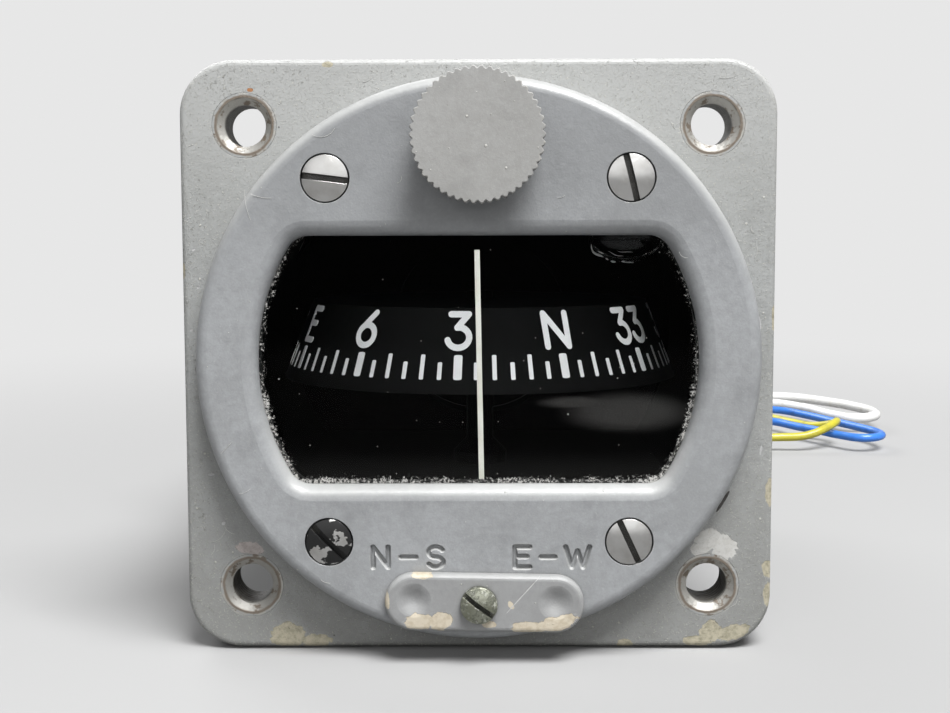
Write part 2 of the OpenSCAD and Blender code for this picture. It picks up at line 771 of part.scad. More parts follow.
// Screwed cap whose hollow tube reaches over the bulb and has slots for the light
module lamp_cap() {
  face_r = knob_r - knob_chamfer;
  slot_w = 0.9 * cap_tube_r;
  slot_front = bulb_front + 1;
  slot_back = bulb_back - 1.5;
  color("#6c706e") at(0, lamp_z) difference() {
    union() {
      intersection() {
        slab(knob_front, knob_back) knurl_outline();
        turned([[0, knob_front], [face_r, knob_front], [knob_r + over, knob_front + knob_chamfer + over],
                [knob_r + over, knob_back - knob_chamfer - over], [face_r, knob_back], [0, knob_back]]);
      }
      rod(collar_r, knob_back - over, bezel_face - run_fit);
      rod(cap_tube_r, bezel_face - 2 * run_fit, bulb_back - run_fit);
    }
    rod(cap_tube_in_r, bulb_front - over, bulb_back + over);
    for (turn = [0 : 90 : 270]) rotate([0, turn, 0])
      translate([-slot_w / 2, slot_front, 0]) cube([slot_w, slot_back - slot_front, cap_tube_r + over]);
  }
}

module lamp_bulb() {
  color("#f2ecd8", 0.5) at(0, lamp_z)
    turned(concat([[0, bulb_back]], [[0, bulb_front]],
                  arc([0, bulb_front + bulb_r], bulb_r, -80, 0, 6), [[bulb_r, bulb_back]]));
}

module lamp_base() {
  color("#b99a55") at(0, lamp_z)
    turned([[0, bulb_back], [bulb_flange_r, bulb_back], [bulb_flange_r, bulb_back + bulb_flange_t],
            [base_r, bulb_back + bulb_flange_t], [base_r, base_back - base_chamfer],
            [base_r - base_chamfer, base_back], [0, base_back]]);
}

module lamp_socket() {
  color("#b99a55") at(0, lamp_z) ring(lamp_bore_r - run_fit, base_r + run_fit, socket_front, block_front);
}

module lamp_contact() {
  front = base_back + contact_gap;
  color("#c2a45c") at(0, lamp_z)
    turned([[0, front], [contact_r - contact_chamfer, front], [contact_r, front + contact_chamfer],
            [contact_r, block_front + contact_foot], [0, block_front + contact_foot]]);
}

module terminal_block() {
  color("#4a2f22") at(0, lamp_z) difference() {
    rod(lamp_bore_r - set_fit, block_front, lamp_bore_depth);
    rod(contact_r + set_fit, block_front - over, block_front + contact_foot);
  }
}

module light_window() {
  top = lamp_z - lamp_bore_r - light_window_drop;
  color("#d8584a", 0.6) translate([0, light_window_y, bowl_top])
    cylinder(r = light_window_r, h = top - bowl_top);
}

// Cutter for a dent that runs smoothly into the face of the cover
module dimple() {
  rim = cover_front - dimple_lip;
  depth = dimple_depth + dimple_lip;
  turned(concat([[0, rim - over], [dimple_r, rim - over]],
                [for (i = [dimple_steps : -1 : 0])
                  [dimple_r * i / dimple_steps, rim + depth * (1 + cos(180 * i / dimple_steps)) / 2]]));
}

// Obround plate on the bezel that hides both adjusters
module compensator_cover() {
  end_r = cover_h / 2;
  edge = concat([[0, cover_back], [0, cover_front]],
                arc([end_r - cover_edge, cover_front + cover_edge], cover_edge, -90, 0, 4),
                [[end_r, cover_back]]);
  color("#6e7370") at(0, cover_z) rotate([0, cover_tilt, 0]) difference() {
    at(cover_shift, 0) along_y() {
      for (turn = [0, 180]) rotate(turn) translate([adjuster_x, 0, 0])
        rotate_extrude(angle = 180, start = -90) polygon(edge);
      for (sy = [0, 1]) mirror([0, sy, 0]) rotate([90, 0, 90])
        linear_extrude(2 * adjuster_x, center = true) polygon(edge);
    }
    rod(cover_screw_r + run_fit, cover_front - over, cover_back + over);
    for (x = [-adjuster_x, adjuster_x]) at(cover_shift + x, dimple_rise) dimple();
  }
}

module cover_screw() {
  color("#8b8f78") at(0, cover_z) rotate([0, cover_screw_slot_turn, 0])
    translate([0, cover_front - run_fit - cover_screw_head_h, 0])
      slotted_screw(cover_screw_head_r, cover_screw_head_h, cover_screw_r,
                    cover_screw_head_h + cover_t + bezel_proud, cover_screw_dome,
                    cover_screw_slot_w, cover_screw_slot_d);
}

// Bracket that carries the wheels from above and the spindles at its ends
module compensator_frame() {
  plate = frame_front + frame_end_t;
  color("#b3925a") difference() {
    slab(frame_front, frame_back) bay_outline(seat_fit);
    translate([-barrel_r, plate, -barrel_r - frame_end_t])
      cube([2 * barrel_r, frame_back - frame_end_t - plate, barrel_r + frame_low + frame_end_t]);
    for (x = [-adjuster_x, adjuster_x]) {
      at(x, adjuster_z) rod(spindle_collar_r + seat_fit, frame_front - over, plate + over);
      at(x, adjuster_z) rod(spindle_end_r + run_fit, plate, frame_back + over);
      for (y = [front_wheel_y, rear_wheel_y])
        translate([x, y, frame_low - over]) cylinder(r = wheel_pin_r + set_fit, h = frame_top_t + 2 * over);
    }
  }
}

module wheel_pins() {
  head_top = wheel_low - run_fit;
  color("#c4c4be") for (x = [-adjuster_x, adjuster_x], y = [front_wheel_y, rear_wheel_y])
    translate([x, y, 0]) {
      translate([0, 0, head_top]) cylinder(r = wheel_pin_r, h = frame_top - head_top);
      translate([0, 0, head_top - pin_head_t]) cylinder(r = pin_head_r, h = pin_head_t);
    }
}

// Straight bevel teeth around +Z with the cone's apex at the origin; r and h place the pitch circle
module bevel_teeth(n, r, h, turn) {
  low = -tooth_ded - tooth_sink;
  grow = 2 * tan(tooth_flank);
  spots = [[low, -1], [low, 1], [tooth_add, 1], [tooth_add, -1]];
  outer = [for (s = spots)
    [r + s[0] * h / cone_l, s[1] * (tooth_w - grow * s[0]) / 2, h - s[0] * r / cone_l]];
  points = concat(outer, [for (p = outer) inner_scale * p]);
  for (i = [0 : n - 1]) rotate(turn + 360 * i / n)
    polyhedron(points, [[0, 1, 2, 3], [7, 6, 5, 4], [4, 5, 1, 0], [5, 6, 2, 1], [6, 7, 3, 2], [7, 4, 0, 3]]);
}

// Slotted adjuster with a shaft that carries two bevel pinions back to back
module spindle() {
  head_front = bezel_face + adjuster_sink;
  collar_back = frame_front + spindle_collar_t;
  small_a = inner_scale * pinion_root_a;
  small_r = inner_scale * pinion_root_r;
  shoulder = frame_back - frame_end_t - run_fit;
  difference() {
    union() {
      turned([[0, head_front], [adjuster_r, head_front], [adjuster_r, collar_front],
              [spindle_collar_r, collar_front], [spindle_collar_r, collar_back], [spindle_r, collar_back],
              [spindle_r, front_wheel_y + small_a], [small_r, front_wheel_y + small_a],
              [pinion_root_r, front_wheel_y + pinion_root_a], [pinion_root_r, rear_wheel_y - pinion_root_a],
              [small_r, rear_wheel_y - small_a], [spindle_r, rear_wheel_y - small_a],
              [spindle_r, shoulder], [spindle_end_r, shoulder], [spindle_end_r, frame_back],
              [0, frame_back]]);
      translate([0, front_wheel_y, 0]) rotate([-90, 0, 0]) bevel_teeth(pinion_teeth, pinion_r, wheel_r, 270);
      translate([0, rear_wheel_y, 0]) rotate([90, 0, 0]) bevel_teeth(pinion_teeth, pinion_r, wheel_r, 90);
    }
    translate([-adjuster_r - over, head_front - over, -adjuster_slot_w / 2])
      cube([2 * (adjuster_r + over), over + adjuster_slot_d, adjuster_slot_w]);
  }
}

// Crown of bevel teeth under a disc, with its cone's apex at the origin and a tooth gap at angle facing
module magnet_wheel(facing) {
  top = pinion_r + wheel_back;
  low = inner_scale * wheel_root_a;
  bore = wheel_pin_r + run_fit;
  rotate_extrude() polygon([[bore, low], [inner_scale * wheel_root_r, low], [wheel_root_r, wheel_root_a],
    [wheel_out_r, wheel_root_a + wheel_rim_rise], [wheel_out_r, top], [bore, top]]);
  bevel_teeth(wheel_teeth, wheel_r, pinion_r, facing + 180 / wheel_teeth);
}

// Bar magnet on top of a wheel, lying along X and turned by a
module comp_magnet(a) {
  difference() {
    rotate(a) translate([-comp_magnet_l / 2, -comp_magnet_w / 2, wheel_top])
      cube([comp_magnet_l, comp_magnet_w, comp_magnet_t]);
    translate([0, 0, wheel_top - over]) cylinder(r = wheel_pin_r + run_fit, h = comp_magnet_t + 2 * over);
  }
}

module ns_spindle() {
  color("#c2a45c") at(-adjuster_x, adjuster_z) spindle();
}

module ew_spindle() {
  color("#c2a45c") at(adjuster_x, adjuster_z) spindle();
}

module ns_front_wheel() {
  color("#c9b06a") translate([-adjuster_x, front_wheel_y, adjuster_z]) magnet_wheel(90);
}

module ns_rear_wheel() {
  color("#c9b06a") translate([-adjuster_x, rear_wheel_y, adjuster_z]) magnet_wheel(270);
}

module ew_front_wheel() {
  color("#c9b06a") translate([adjuster_x, front_wheel_y, adjuster_z]) magnet_wheel(90);
}

module ew_rear_wheel() {
  color("#c9b06a") translate([adjuster_x, rear_wheel_y, adjuster_z]) magnet_wheel(270);
}

module ns_front_magnet() {
  color("#55585a") translate([-adjuster_x, front_wheel_y, 0]) comp_magnet(90);
}

module ns_rear_magnet() {
  color("#55585a") translate([-adjuster_x, rear_wheel_y, 0]) comp_magnet(90);
}

module ew_front_magnet() {
  color("#55585a") translate([adjuster_x, front_wheel_y, 0]) comp_magnet(0);
}

module ew_rear_magnet() {
  color("#55585a") translate([adjuster_x, rear_wheel_y, 0]) comp_magnet(0);
}

module rear_gasket() {
  color("#1b1b1b") ring(diaphragm_r, diaphragm_in_r, case_back, diaphragm_front);
}

// Thin metal disc with round corrugations inside its clamped rim
module diaphragm() {
  steps = 8 * diaphragm_waves;
  wave_r = diaphragm_in_r - diaphragm_flat;
  face = [for (i = [0 : steps])
    [wave_r * i / steps, diaphragm_wave_h * (1 - cos(360 * i * diaphragm_waves / steps)) / 2]];
  color("#c8b27a") turned(concat(
    [for (p = face) [p[0], diaphragm_front + p[1]]],
    [[diaphragm_r, diaphragm_front], [diaphragm_r, diaphragm_back]],
    [for (i = [steps : -1 : 0]) [face[i][0], diaphragm_back + face[i][1]]]));
}

module rear_cover() {
  color("#6f7470") difference() {
    turned(concat([[0, case_back], [rear_cover_r, case_back]],
                  arc([rear_cover_r - rear_rounding, rear_face - rear_rounding], rear_rounding, 0, 90, 4),
                  [[0, rear_face]]));
    rod(diaphragm_r + loose_fit, case_back - over, diaphragm_back);
    rod(diaphragm_in_r, case_back - over, rear_face - cover_wall);
    rod(vent_r, case_back, rear_face + over);
    at(0, lamp_z) rod(grommet_r + set_fit, case_back - over, rear_face + over);
    at_rear_screws() {
      rod(rear_screw_r + run_fit, case_back - over, rear_face + over);
      rod(rear_head_r + loose_fit, rear_face - rear_head_h, rear_face + over);
    }
  }
}

module rear_screws() {
  color("#b4b3ad") at_rear_screws() translate([0, rear_face - rear_head_sink, 0]) rotate([180, 0, 0])
    slotted_screw(rear_head_r, rear_head_h - rear_head_sink, rear_screw_r,
                  rear_cover_t - rear_head_sink + rear_screw_hold, rear_head_dome, rear_slot_w, rear_slot_d);
}

module filler_plug() {
  seat = filler_boss_top + filler_seal_t;
  top = seat + filler_head_t;
  end = bowl_r + filler_sink;
  color("#a9a9a3") at_filler() difference() {
    turned([[0, end], [filler_r, end], [filler_r, seat], [filler_head_r, seat],
            [filler_head_r, top - filler_chamfer], [filler_head_r - filler_chamfer, top], [0, top]]);
    translate([-filler_head_r - over, top - filler_slot_d, -filler_slot_w / 2])
      cube([2 * (filler_head_r + over), filler_slot_d + over, filler_slot_w]);
  }
}

module filler_seal() {
  color("#8a3d2c") at_filler()
    ring(filler_head_r, filler_r + run_fit, filler_boss_top, filler_boss_top + filler_seal_t);
}

module wire_grommet() {
  front = case_back + loose_fit;
  lip_back = rear_face + grommet_lip_t;
  color("#151515") at(0, lamp_z)
    turned([[grommet_bore_r, front], [grommet_r, front], [grommet_r, rear_face],
            [grommet_lip_r, rear_face], [grommet_lip_r - grommet_taper, lip_back],
            [grommet_bore_r + grommet_flare, lip_back], [grommet_bore_r, lip_back - grommet_flare]]);
}

// Directions along a route, and a round tube of flat sides swept through its points
function heading(route, i) = unit(route[min(i + 1, len(route) - 1)] - route[max(i - 1, 0)]);
function lead_ring(p, along, r) =
  let (u = unit(cross(along, [0, 0, 1])), v = cross(u, along))
    [for (k = [0 : lead_sides - 1]) let (a = 360 * k / lead_sides) p + r * cos(a) * u + r * sin(a) * v];

module lead(route, r) {
  last = len(route) - 1;
  points = [for (i = [0 : last]) each lead_ring(route[i], heading(route, i), r)];
  sides = [for (i = [0 : last - 1], k = [0 : lead_sides - 1])
    let (a = lead_sides * i + k, b = lead_sides * i + (k + 1) % lead_sides)
      each [[a, a + lead_sides, b], [b, a + lead_sides, b + lead_sides]]];
  ends = [for (k = [1 : lead_sides - 2]) each [[0, k, k + 1], lead_sides * last * [1, 1, 1] + [0, k + 1, k]]];
  polyhedron(points, concat(sides, ends));
}

module lead_white() {
  color("#f4f4f2") lead(white_route, white_r);
}

module lead_blue() {
  color("#3f7fe0") lead(blue_route, colour_r);
}

module lead_yellow() {
  color("#d8cf2a") lead(yellow_route, colour_r);
}

// Bare strands at the cut end of each lead
module lead_tips() {
  color("#c07a4a") for (route = [white_route, blue_route, yellow_route]) {
    end = route[len(route) - 1];
    lead([end, end + bare_l * heading(route, len(route) - 1)], bare_r);
  }
}

case_body();
bezel();
window_glass();
window_gasket();
bezel_screws();
mounting_inserts();
lubber_line();
jewel_post();
jewel();
compass_card();
float();
card_magnets();
pivot();
card_nut();
lamp_cap();
lamp_bulb();
lamp_base();
lamp_socket();
lamp_contact();
terminal_block();
light_window();
compensator_cover();
cover_screw();
compensator_frame();
wheel_pins();
ns_spindle();
ns_front_wheel();
ns_rear_wheel();
ns_front_magnet();
ns_rear_magnet();
ew_spindle();
ew_front_wheel();
ew_rear_wheel();
ew_front_magnet();
ew_rear_magnet();
rear_gasket();
diaphragm();
rear_cover();
rear_screws();
filler_plug();
filler_seal();
wire_grommet();
lead_white();
lead_blue();
lead_yellow();
lead_tips();
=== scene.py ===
import json
import math

import bmesh
import bpy
from mathutils import Matrix, Vector


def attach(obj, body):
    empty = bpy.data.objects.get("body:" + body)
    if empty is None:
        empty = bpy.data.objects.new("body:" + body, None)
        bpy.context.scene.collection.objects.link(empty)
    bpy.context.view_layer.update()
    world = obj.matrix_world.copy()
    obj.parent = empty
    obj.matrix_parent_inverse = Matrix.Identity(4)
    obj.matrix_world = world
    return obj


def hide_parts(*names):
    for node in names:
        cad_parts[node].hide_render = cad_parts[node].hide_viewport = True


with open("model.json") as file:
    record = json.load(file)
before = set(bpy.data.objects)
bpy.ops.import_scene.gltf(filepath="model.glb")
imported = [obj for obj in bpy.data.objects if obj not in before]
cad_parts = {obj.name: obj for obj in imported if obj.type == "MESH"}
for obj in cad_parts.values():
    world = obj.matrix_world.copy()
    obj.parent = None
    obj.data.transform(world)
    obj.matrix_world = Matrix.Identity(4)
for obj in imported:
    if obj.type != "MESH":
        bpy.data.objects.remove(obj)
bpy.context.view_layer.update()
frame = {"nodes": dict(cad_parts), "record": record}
nodes = frame["nodes"]
MM = 0.001

# Image and camera
IMAGE_W = 950
FOCAL_PX = 1448.5
SENSOR_MM = 36.0
CAMERA_AT = Vector((0.77, -147.18, 13.54)) * MM
CAMERA_YAW = 0.0078
CAMERA_PITCH = -0.0906
CAMERA_ROLL = -0.0028

# The table under the part: it rests on the flange's rear edge and the back of the barrel
FLOOR_Y = 5.0
FLOOR_Z = -30.15
FLOOR_RISE = 0.05104

# Faces that the marks, the dust and the fibres lie on
FLANGE_FACE = 0.0
BEZEL_FACE = -4.0
GLASS_FACE = -2.3
WINDOW_SIDE = 22.1
WINDOW_FOOT = -12.5

# Middle of a panel insert, from the middle of the flange
INSERT_AT = 23.57

# Card and its marks
CARD_Y = 25.0
CARD_LOW = -4.0
CARD_HIGH = 4.8
CARD_R_LOW = 23.0
CARD_R_HIGH = 19.6
HEADING = 24.25
MARK_TOP = 0.03
MARK_SINK = -0.03


def link(obj):
    bpy.context.scene.collection.objects.link(obj)
    return obj


def piece(name, data, body, material):
    """Adds a visible piece that rides on a body."""
    obj = link(bpy.data.objects.new(name, data))
    data.materials.append(material)
    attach(obj, body)
    return obj


def smooth(mesh, degrees=32):
    """Smooth shading, with edges sharper than the angle left crisp."""
    mesh.polygons.foreach_set("use_smooth", [True] * len(mesh.polygons))
    mesh.set_sharp_from_angle(angle=math.radians(degrees))
    mesh.update()


# Camera


def make_camera():
    data = bpy.data.cameras.new("camera")
    data.sensor_fit = "HORIZONTAL"
    data.sensor_width = SENSOR_MM
    data.lens = FOCAL_PX / IMAGE_W * SENSOR_MM
    data.clip_start = 0.01
    forward = Vector((-math.sin(CAMERA_YAW) * math.cos(CAMERA_PITCH),
                      math.cos(CAMERA_YAW) * math.cos(CAMERA_PITCH), math.sin(CAMERA_PITCH)))
    level = Vector((math.cos(CAMERA_YAW), math.sin(CAMERA_YAW), 0))
    upright = level.cross(forward)
    right = math.cos(CAMERA_ROLL) * level + math.sin(CAMERA_ROLL) * upright
    up = right.cross(forward)
    camera = link(bpy.data.objects.new("camera", data))
    turn = Matrix((right, up, -forward)).transposed().to_4x4()
    camera.matrix_world = Matrix.Translation(CAMERA_AT) @ turn
    bpy.context.scene.camera = camera


make_camera()


# Materials

# Samples of the shading nodes, and how soft the edges of their masks are
HOLLOW_SAMPLES = 6
BEVEL_SAMPLES = 4
EDGE_FLAT = 0.97
EDGE_TURNED = 0.8
STREAK_SOFT = 0.04
GRAIN_SOFT = 0.02
GRAIN_CORE = 0.55


class Paint:
    """A node material, with short calls for the nodes that the finishes here share."""

    def __init__(self, name):
        self.data = bpy.data.materials.new(name)
        self.data.use_nodes = True
        self.tree = self.data.node_tree
        self.tree.nodes.clear()
        self.output = self.node("ShaderNodeOutputMaterial")
        coords = self.node("ShaderNodeTexCoord").outputs
        self.mm = self.vector("MULTIPLY", coords["Object"], (1 / MM, 1 / MM, 1 / MM))
        self.up = self.node("ShaderNodeSeparateXYZ", {0: coords["Normal"]}).outputs[2]
        self.x, self.y, self.z = self.node("ShaderNodeSeparateXYZ", {0: self.mm}).outputs

    def node(self, kind, inputs=None, **settings):
        made = self.tree.nodes.new(kind)
        for key, value in settings.items():
            setattr(made, key, value)
        for key, value in (inputs or {}).items():
            if isinstance(value, bpy.types.NodeSocket):
                self.tree.links.new(value, made.inputs[key])
            else:
                made.inputs[key].default_value = value
        return made

    def math(self, operation, a, b=0.0, clamp=False):
        return self.node("ShaderNodeMath", {0: a, 1: b}, operation=operation, use_clamp=clamp).outputs[0]

    def times(self, a, b, clamp=False):
        return self.math("MULTIPLY", a, b, clamp)

    def plus(self, a, b, clamp=False):
        return self.math("ADD", a, b, clamp)

    def less(self, a, b):
        return self.math("SUBTRACT", a, b)

    def either(self, a, b):
        """The larger of two masks."""
        return self.math("MAXIMUM", a, b)

    def blend(self, share, a, b):
        """Mixes two shaders."""
        return self.node("ShaderNodeMixShader", {0: share, 1: a, 2: b}).outputs[0]

    def vector(self, operation, *given):
        made = self.node("ShaderNodeVectorMath", dict(enumerate(given)), operation=operation)
        return made.outputs[1 if operation in ("LENGTH", "DOT_PRODUCT") else 0]

    def noise(self, scale, detail=2.0, roughness=0.5, at=None):
        inputs = {"Vector": at or self.mm, "Scale": scale, "Detail": detail, "Roughness": roughness}
        return self.node("ShaderNodeTexNoise", inputs).outputs["Fac"]

    def band(self, value, low, high):
        """0 below low and 1 above high, or the other way round where low is the larger."""
        inputs = {"Value": value, "From Min": low, "From Max": high}
        return self.node("ShaderNodeMapRange", inputs, interpolation_type="SMOOTHSTEP").outputs[0]

    def within(self, value, low, high, soft):
        """1 between low and high."""
        rising = self.band(value, low - soft, low + soft)
        return self.times(rising, self.band(value, high + soft, high - soft))

    def mix(self, share, a, b):
        return self.node("ShaderNodeMix", {0: share, 6: a, 7: b}, data_type="RGBA").outputs[2]

    def spread(self, value, low, high):
        """Carries 0..1 to low..high."""
        inputs = {"Value": value, "To Min": low, "To Max": high}
        return self.node("ShaderNodeMapRange", inputs).outputs[0]

    def hollow(self, reach):
        """1 in corners and slots, 0 in the open."""
        found = self.node("ShaderNodeAmbientOcclusion", {"Distance": reach * MM}, samples=HOLLOW_SAMPLES)
        return self.math("SUBTRACT", 1.0, found.outputs["AO"], clamp=True)

    def rounded(self, radius):
        """Normal with every edge softened to that radius."""
        return self.node("ShaderNodeBevel", {"Radius": radius * MM}, samples=BEVEL_SAMPLES).outputs[0]

    def edges(self, radius):
        """1 along edges."""
        true = self.node("ShaderNodeNewGeometry").outputs["Normal"]
        along = self.vector("DOT_PRODUCT", self.rounded(radius), true)
        return self.band(along, EDGE_FLAT, EDGE_TURNED)

    def bump(self, height, normal=None):
        """Normal from a height in millimetres."""
        inputs = {"Height": height, "Distance": MM}
        if normal is not None:
            inputs["Normal"] = normal
        return self.node("ShaderNodeBump", inputs).outputs[0]

    def spots(self, places):
        """Distance to the nearest of some ellipses (x, z, half width, half height, lean): 1 on their rim."""
        nearest = None
        for x, z, wide, high, lean in places:
            c, s = math.cos(math.radians(lean)), math.sin(math.radians(lean))
            along = self.vector("DOT_PRODUCT", self.mm, (c / wide, 0, s / wide))
            across = self.vector("DOT_PRODUCT", self.mm, (-s / high, 0, c / high))
            inputs = {0: self.less(along, (c * x + s * z) / wide),
                      1: self.less(across, (c * z - s * x) / high)}
            away = self.vector("LENGTH", self.node("ShaderNodeCombineXYZ", inputs).outputs[0])
            nearest = away if nearest is None else self.math("MINIMUM", nearest, away)
        return nearest

    def streaks(self, lean, length, width, least):
        """1 on fine scratches that lean at an angle to level."""
        turn = {"Vector": self.mm, "Angle": math.radians(lean)}
        turned = self.node("ShaderNodeVectorRotate", turn, rotation_type="Y_AXIS").outputs[0]
        drawn = self.vector("MULTIPLY", turned, (1 / length, 1 / length, 1 / width))
        return self.band(self.noise(1.0, 1.0, at=drawn), least, least + STREAK_SOFT)

    def grains(self, scale, share, size, flat=False):
        """1 on scattered round grains that fill a share of their cells, in space or flat in the x-z plane."""
        at = self.node("ShaderNodeCombineXYZ", {0: self.x, 1: self.z}).outputs[0] if flat else self.mm
        cells = self.node("ShaderNodeTexVoronoi", {"Vector": at, "Scale": scale},
                          voronoi_dimensions="2D" if flat else "3D")
        chosen = self.band(cells.outputs["Color"], 1 - share, 1 - share + GRAIN_SOFT)
        core = self.band(cells.outputs["Distance"], size, GRAIN_CORE * size)
        return self.times(chosen, core)

    def surface(self, **inputs):
        """Ends the material in one Principled shader; a name's underscores stand for spaces."""
        shader = self.node("ShaderNodeBsdfPrincipled", {k.replace("_", " "): v for k, v in inputs.items()})
        return self.finish(shader.outputs[0])

    def finish(self, shader):
        self.tree.links.new(shader, self.output.inputs["Surface"])
        return self.data


def grey(value):
    return (value, value, value, 1)


# What lies on the paint or shows through it, with the painted shade and painted light that some of it also
# carries
GRIME_AND_SHADE = (0.075, 0.07, 0.06, 1)
SOIL_AND_SHADE = (0.15, 0.145, 0.13, 1)
POWDER_AND_LIGHT = (0.46, 0.465, 0.455, 1)
PIT = (0.14, 0.135, 0.115, 1)
DUST = (0.66, 0.65, 0.59, 1)
TOP_DUST_AND_LIGHT = (0.56, 0.565, 0.555, 1)
RUBBED = (0.6, 0.58, 0.52, 1)
SCRATCH = grey(0.52)
SAND = grey(0.58)
SPECK = grey(0.07)
LIFTED = grey(0.5)

# The black inside of the case: its radius, and how far it runs back
BOWL_R = 27.4
BOWL_FRONT = 0.35
BOWL_BACK = 54.9
BOWL_BLACK = grey(0.002)


def sprayed(p, light, dark, grit, sand, painted_top_shade):
    """Colour of uneven paint with smudges, sand and scratches, and painted shade that darkens it towards the
    top by the last argument.
    """
    tone = p.plus(p.times(p.noise(0.08, 3), 0.55), p.times(p.noise(1.3, 4, 0.65), 0.45))
    colour = p.mix(p.band(tone, 0.38, 0.62), dark, light)
    deep = [0.72 * c for c in dark[:3]] + [1]
    smudge = p.times(p.band(p.noise(0.24, 5, 0.62), 0.5, 0.74), 0.45)
    colour = p.mix(smudge, colour, deep)
    colour = p.mix(p.times(p.band(grit, 0.5, 0.34), 6 * sand, clamp=True), colour, deep)
    colour = p.mix(p.times(p.band(grit, 0.58, 0.74), 8 * sand, clamp=True), colour, SAND)
    if painted_top_shade:
        # Painted shade: darker towards the top
        colour = p.mix(p.times(p.band(p.z, 4.0, 20.0), painted_top_shade), colour, deep)
    scratched = p.either(p.streaks(35, 4.0, 0.14, 0.79), p.streaks(-62, 3.0, 0.12, 0.79))
    return p.mix(p.times(scratched, 0.3), colour, SCRATCH)


def weathered(p, colour, dust):
    """Soil and painted shade low on the flange, powder and painted light high on it, clumps and flecks of
    dust, and pits among them.
    """
    # Soil and painted shade: darker towards the bottom of the flange
    soil_and_shade = p.times(p.band(p.z, -6.0, -27.0), p.spread(p.noise(0.3, 4), 0.12, 0.45))
    colour = p.mix(soil_and_shade, colour, SOIL_AND_SHADE)
    # Powder and painted light: paler towards the top of the front
    powder_and_light = p.times(p.band(p.z, 10.0, 28.0), p.band(p.y, 2.4, 1.4))
    colour = p.mix(p.times(powder_and_light, 0.68), colour, POWDER_AND_LIGHT)
    clumps = p.times(p.noise(2.4, 5, 0.78), p.spread(p.noise(0.17, 3), 0.75, 1.25))
    sided = p.either(p.band(p.x, -25.5, -28.5), p.times(p.band(p.z, 21.0, 26.0), 0.7))
    level = p.plus(clumps, p.times(sided, 0.045))
    dust = p.either(dust, p.band(level, 0.63, 0.71))
    flecks = p.either(p.streaks(15, 0.45, 0.13, 0.645), p.streaks(-65, 0.4, 0.12, 0.645))
    dust = p.either(dust, p.times(flecks, p.spread(p.noise(0.2, 2), 0.3, 1.0)))
    pits = p.either(p.grains(1.5, 0.3, 0.22), p.grains(2.6, 0.3, 0.28))
    among = p.times(p.band(clumps, 0.42, 0.62), p.spread(sided, 0.35, 0.7))
    return p.mix(p.times(pits, among), colour, PIT), dust


def top_dust_and_light(p, most):
    """Share of dust and painted light on the faces that look up, thin behind the front."""
    share = p.times(p.band(p.up, 0.06, 0.6), p.spread(p.noise(0.8, 4), 0.55 * most, most))
    return p.times(share, p.spread(p.band(p.y, 2.0, 0.5), 0.2, 1.0))


def bare_patches(p, colour, height, patches):
    """Ragged places on the front where the paint has come off."""
    ragged = p.times(p.less(p.noise(1.1, 4, 0.6), 0.5), 1.15)
    front = p.band(p.y, 3.2, 2.6)
    for bare_colour, stain, places in patches:
        away = p.plus(p.spots(places), ragged)
        bare = p.times(p.band(away, 1.0, 0.96), front)
        lifted = p.times(p.band(away, 1.13, 1.02), front)
        primer = p.mix(p.band(p.noise(1.5, 5, 0.65), 0.42, 0.64), bare_colour, stain)
        colour = p.mix(p.times(lifted, 0.3), colour, LIFTED)
        colour = p.mix(bare, colour, primer)
        height = p.less(height, p.times(bare, 0.07))
    return colour, height


def enamel(name, light, dark, peel, sand, wear, gloss, patches=(), cast=False, painted_top_shade=0.0, settle_and_light=0.4):
    """Old sprayed paint with orange peel, dirt and painted shade in hollows, settled dust and painted light
    on faces that look up, rubbed edges and bare patches, and where asked painted shade towards the top.
    The cast pieces are weathered too, and black inside."""
    p = Paint(name)
    grit = p.noise(4.2, 3, 0.7)
    colour = sprayed(p, light, dark, grit, sand, painted_top_shade)
    hollow = p.hollow(1.5)
    # Grime and painted shade: darker in hollows, corners and the gaps between parts
    grime_and_shade = p.times(p.band(hollow, 0.25, 0.8), p.spread(p.noise(0.5, 4), 0.4, 1.0))
    colour = p.mix(p.times(grime_and_shade, 0.75), colour, GRIME_AND_SHADE)
    dust = p.either(p.grains(1.1, 0.1, 0.17), p.grains(2.3, 0.1, 0.2))
    if cast:
        colour, dust = weathered(p, colour, dust)
    colour = p.mix(p.times(dust, 0.6), colour, DUST)
    colour = p.mix(p.times(p.grains(0.8, 0.06, 0.1), 0.8), colour, SPECK)
    # Settled dust and painted light: paler on the faces that look up
    colour = p.mix(top_dust_and_light(p, settle_and_light), colour, TOP_DUST_AND_LIGHT)
    rubbed = p.times(p.edges(0.35), p.band(p.noise(0.55, 5, 0.65), 0.46, 0.6))
    rubbed = p.times(rubbed, p.band(hollow, 0.55, 0.3))
    colour = p.mix(p.times(rubbed, wear), colour, RUBBED)
    height = p.plus(p.times(p.noise(0.9, 2), peel), p.times(grit, sand))
    height = p.plus(height, p.times(dust, 0.05))
    colour, height = bare_patches(p, colour, height, patches)
    rough = p.spread(p.noise(0.7, 3), gloss - 0.06, gloss + 0.1)
    mirror = 0.5
    if cast:
        radius = p.vector("LENGTH", p.vector("MULTIPLY", p.mm, (1, 0, 1)))
        within = p.within(p.y, BOWL_FRONT, BOWL_BACK, 0.05)
        bowl = p.times(p.band(radius, BOWL_R + 0.1, BOWL_R - 0.1), within)
        colour = p.mix(bowl, colour, BOWL_BLACK)
        rough = p.plus(rough, p.times(bowl, 0.4), clamp=True)
        mirror = p.less(mirror, p.times(bowl, 0.48))
    return p.surface(Base_Color=colour, Roughness=rough, Specular_IOR_Level=mirror,
                     Normal=p.bump(height, p.rounded(0.12)))


# What lies on the metal, with painted shade in the slots
SLOT_DIRT_AND_SHADE = (0.03, 0.028, 0.022, 1)
OLD_BLACK = grey(0.01)
OLD_BLACK_REACH = 3.0
CORROSION = (0.07, 0.075, 0.055, 1)
SALTS = (0.52, 0.53, 0.47, 1)


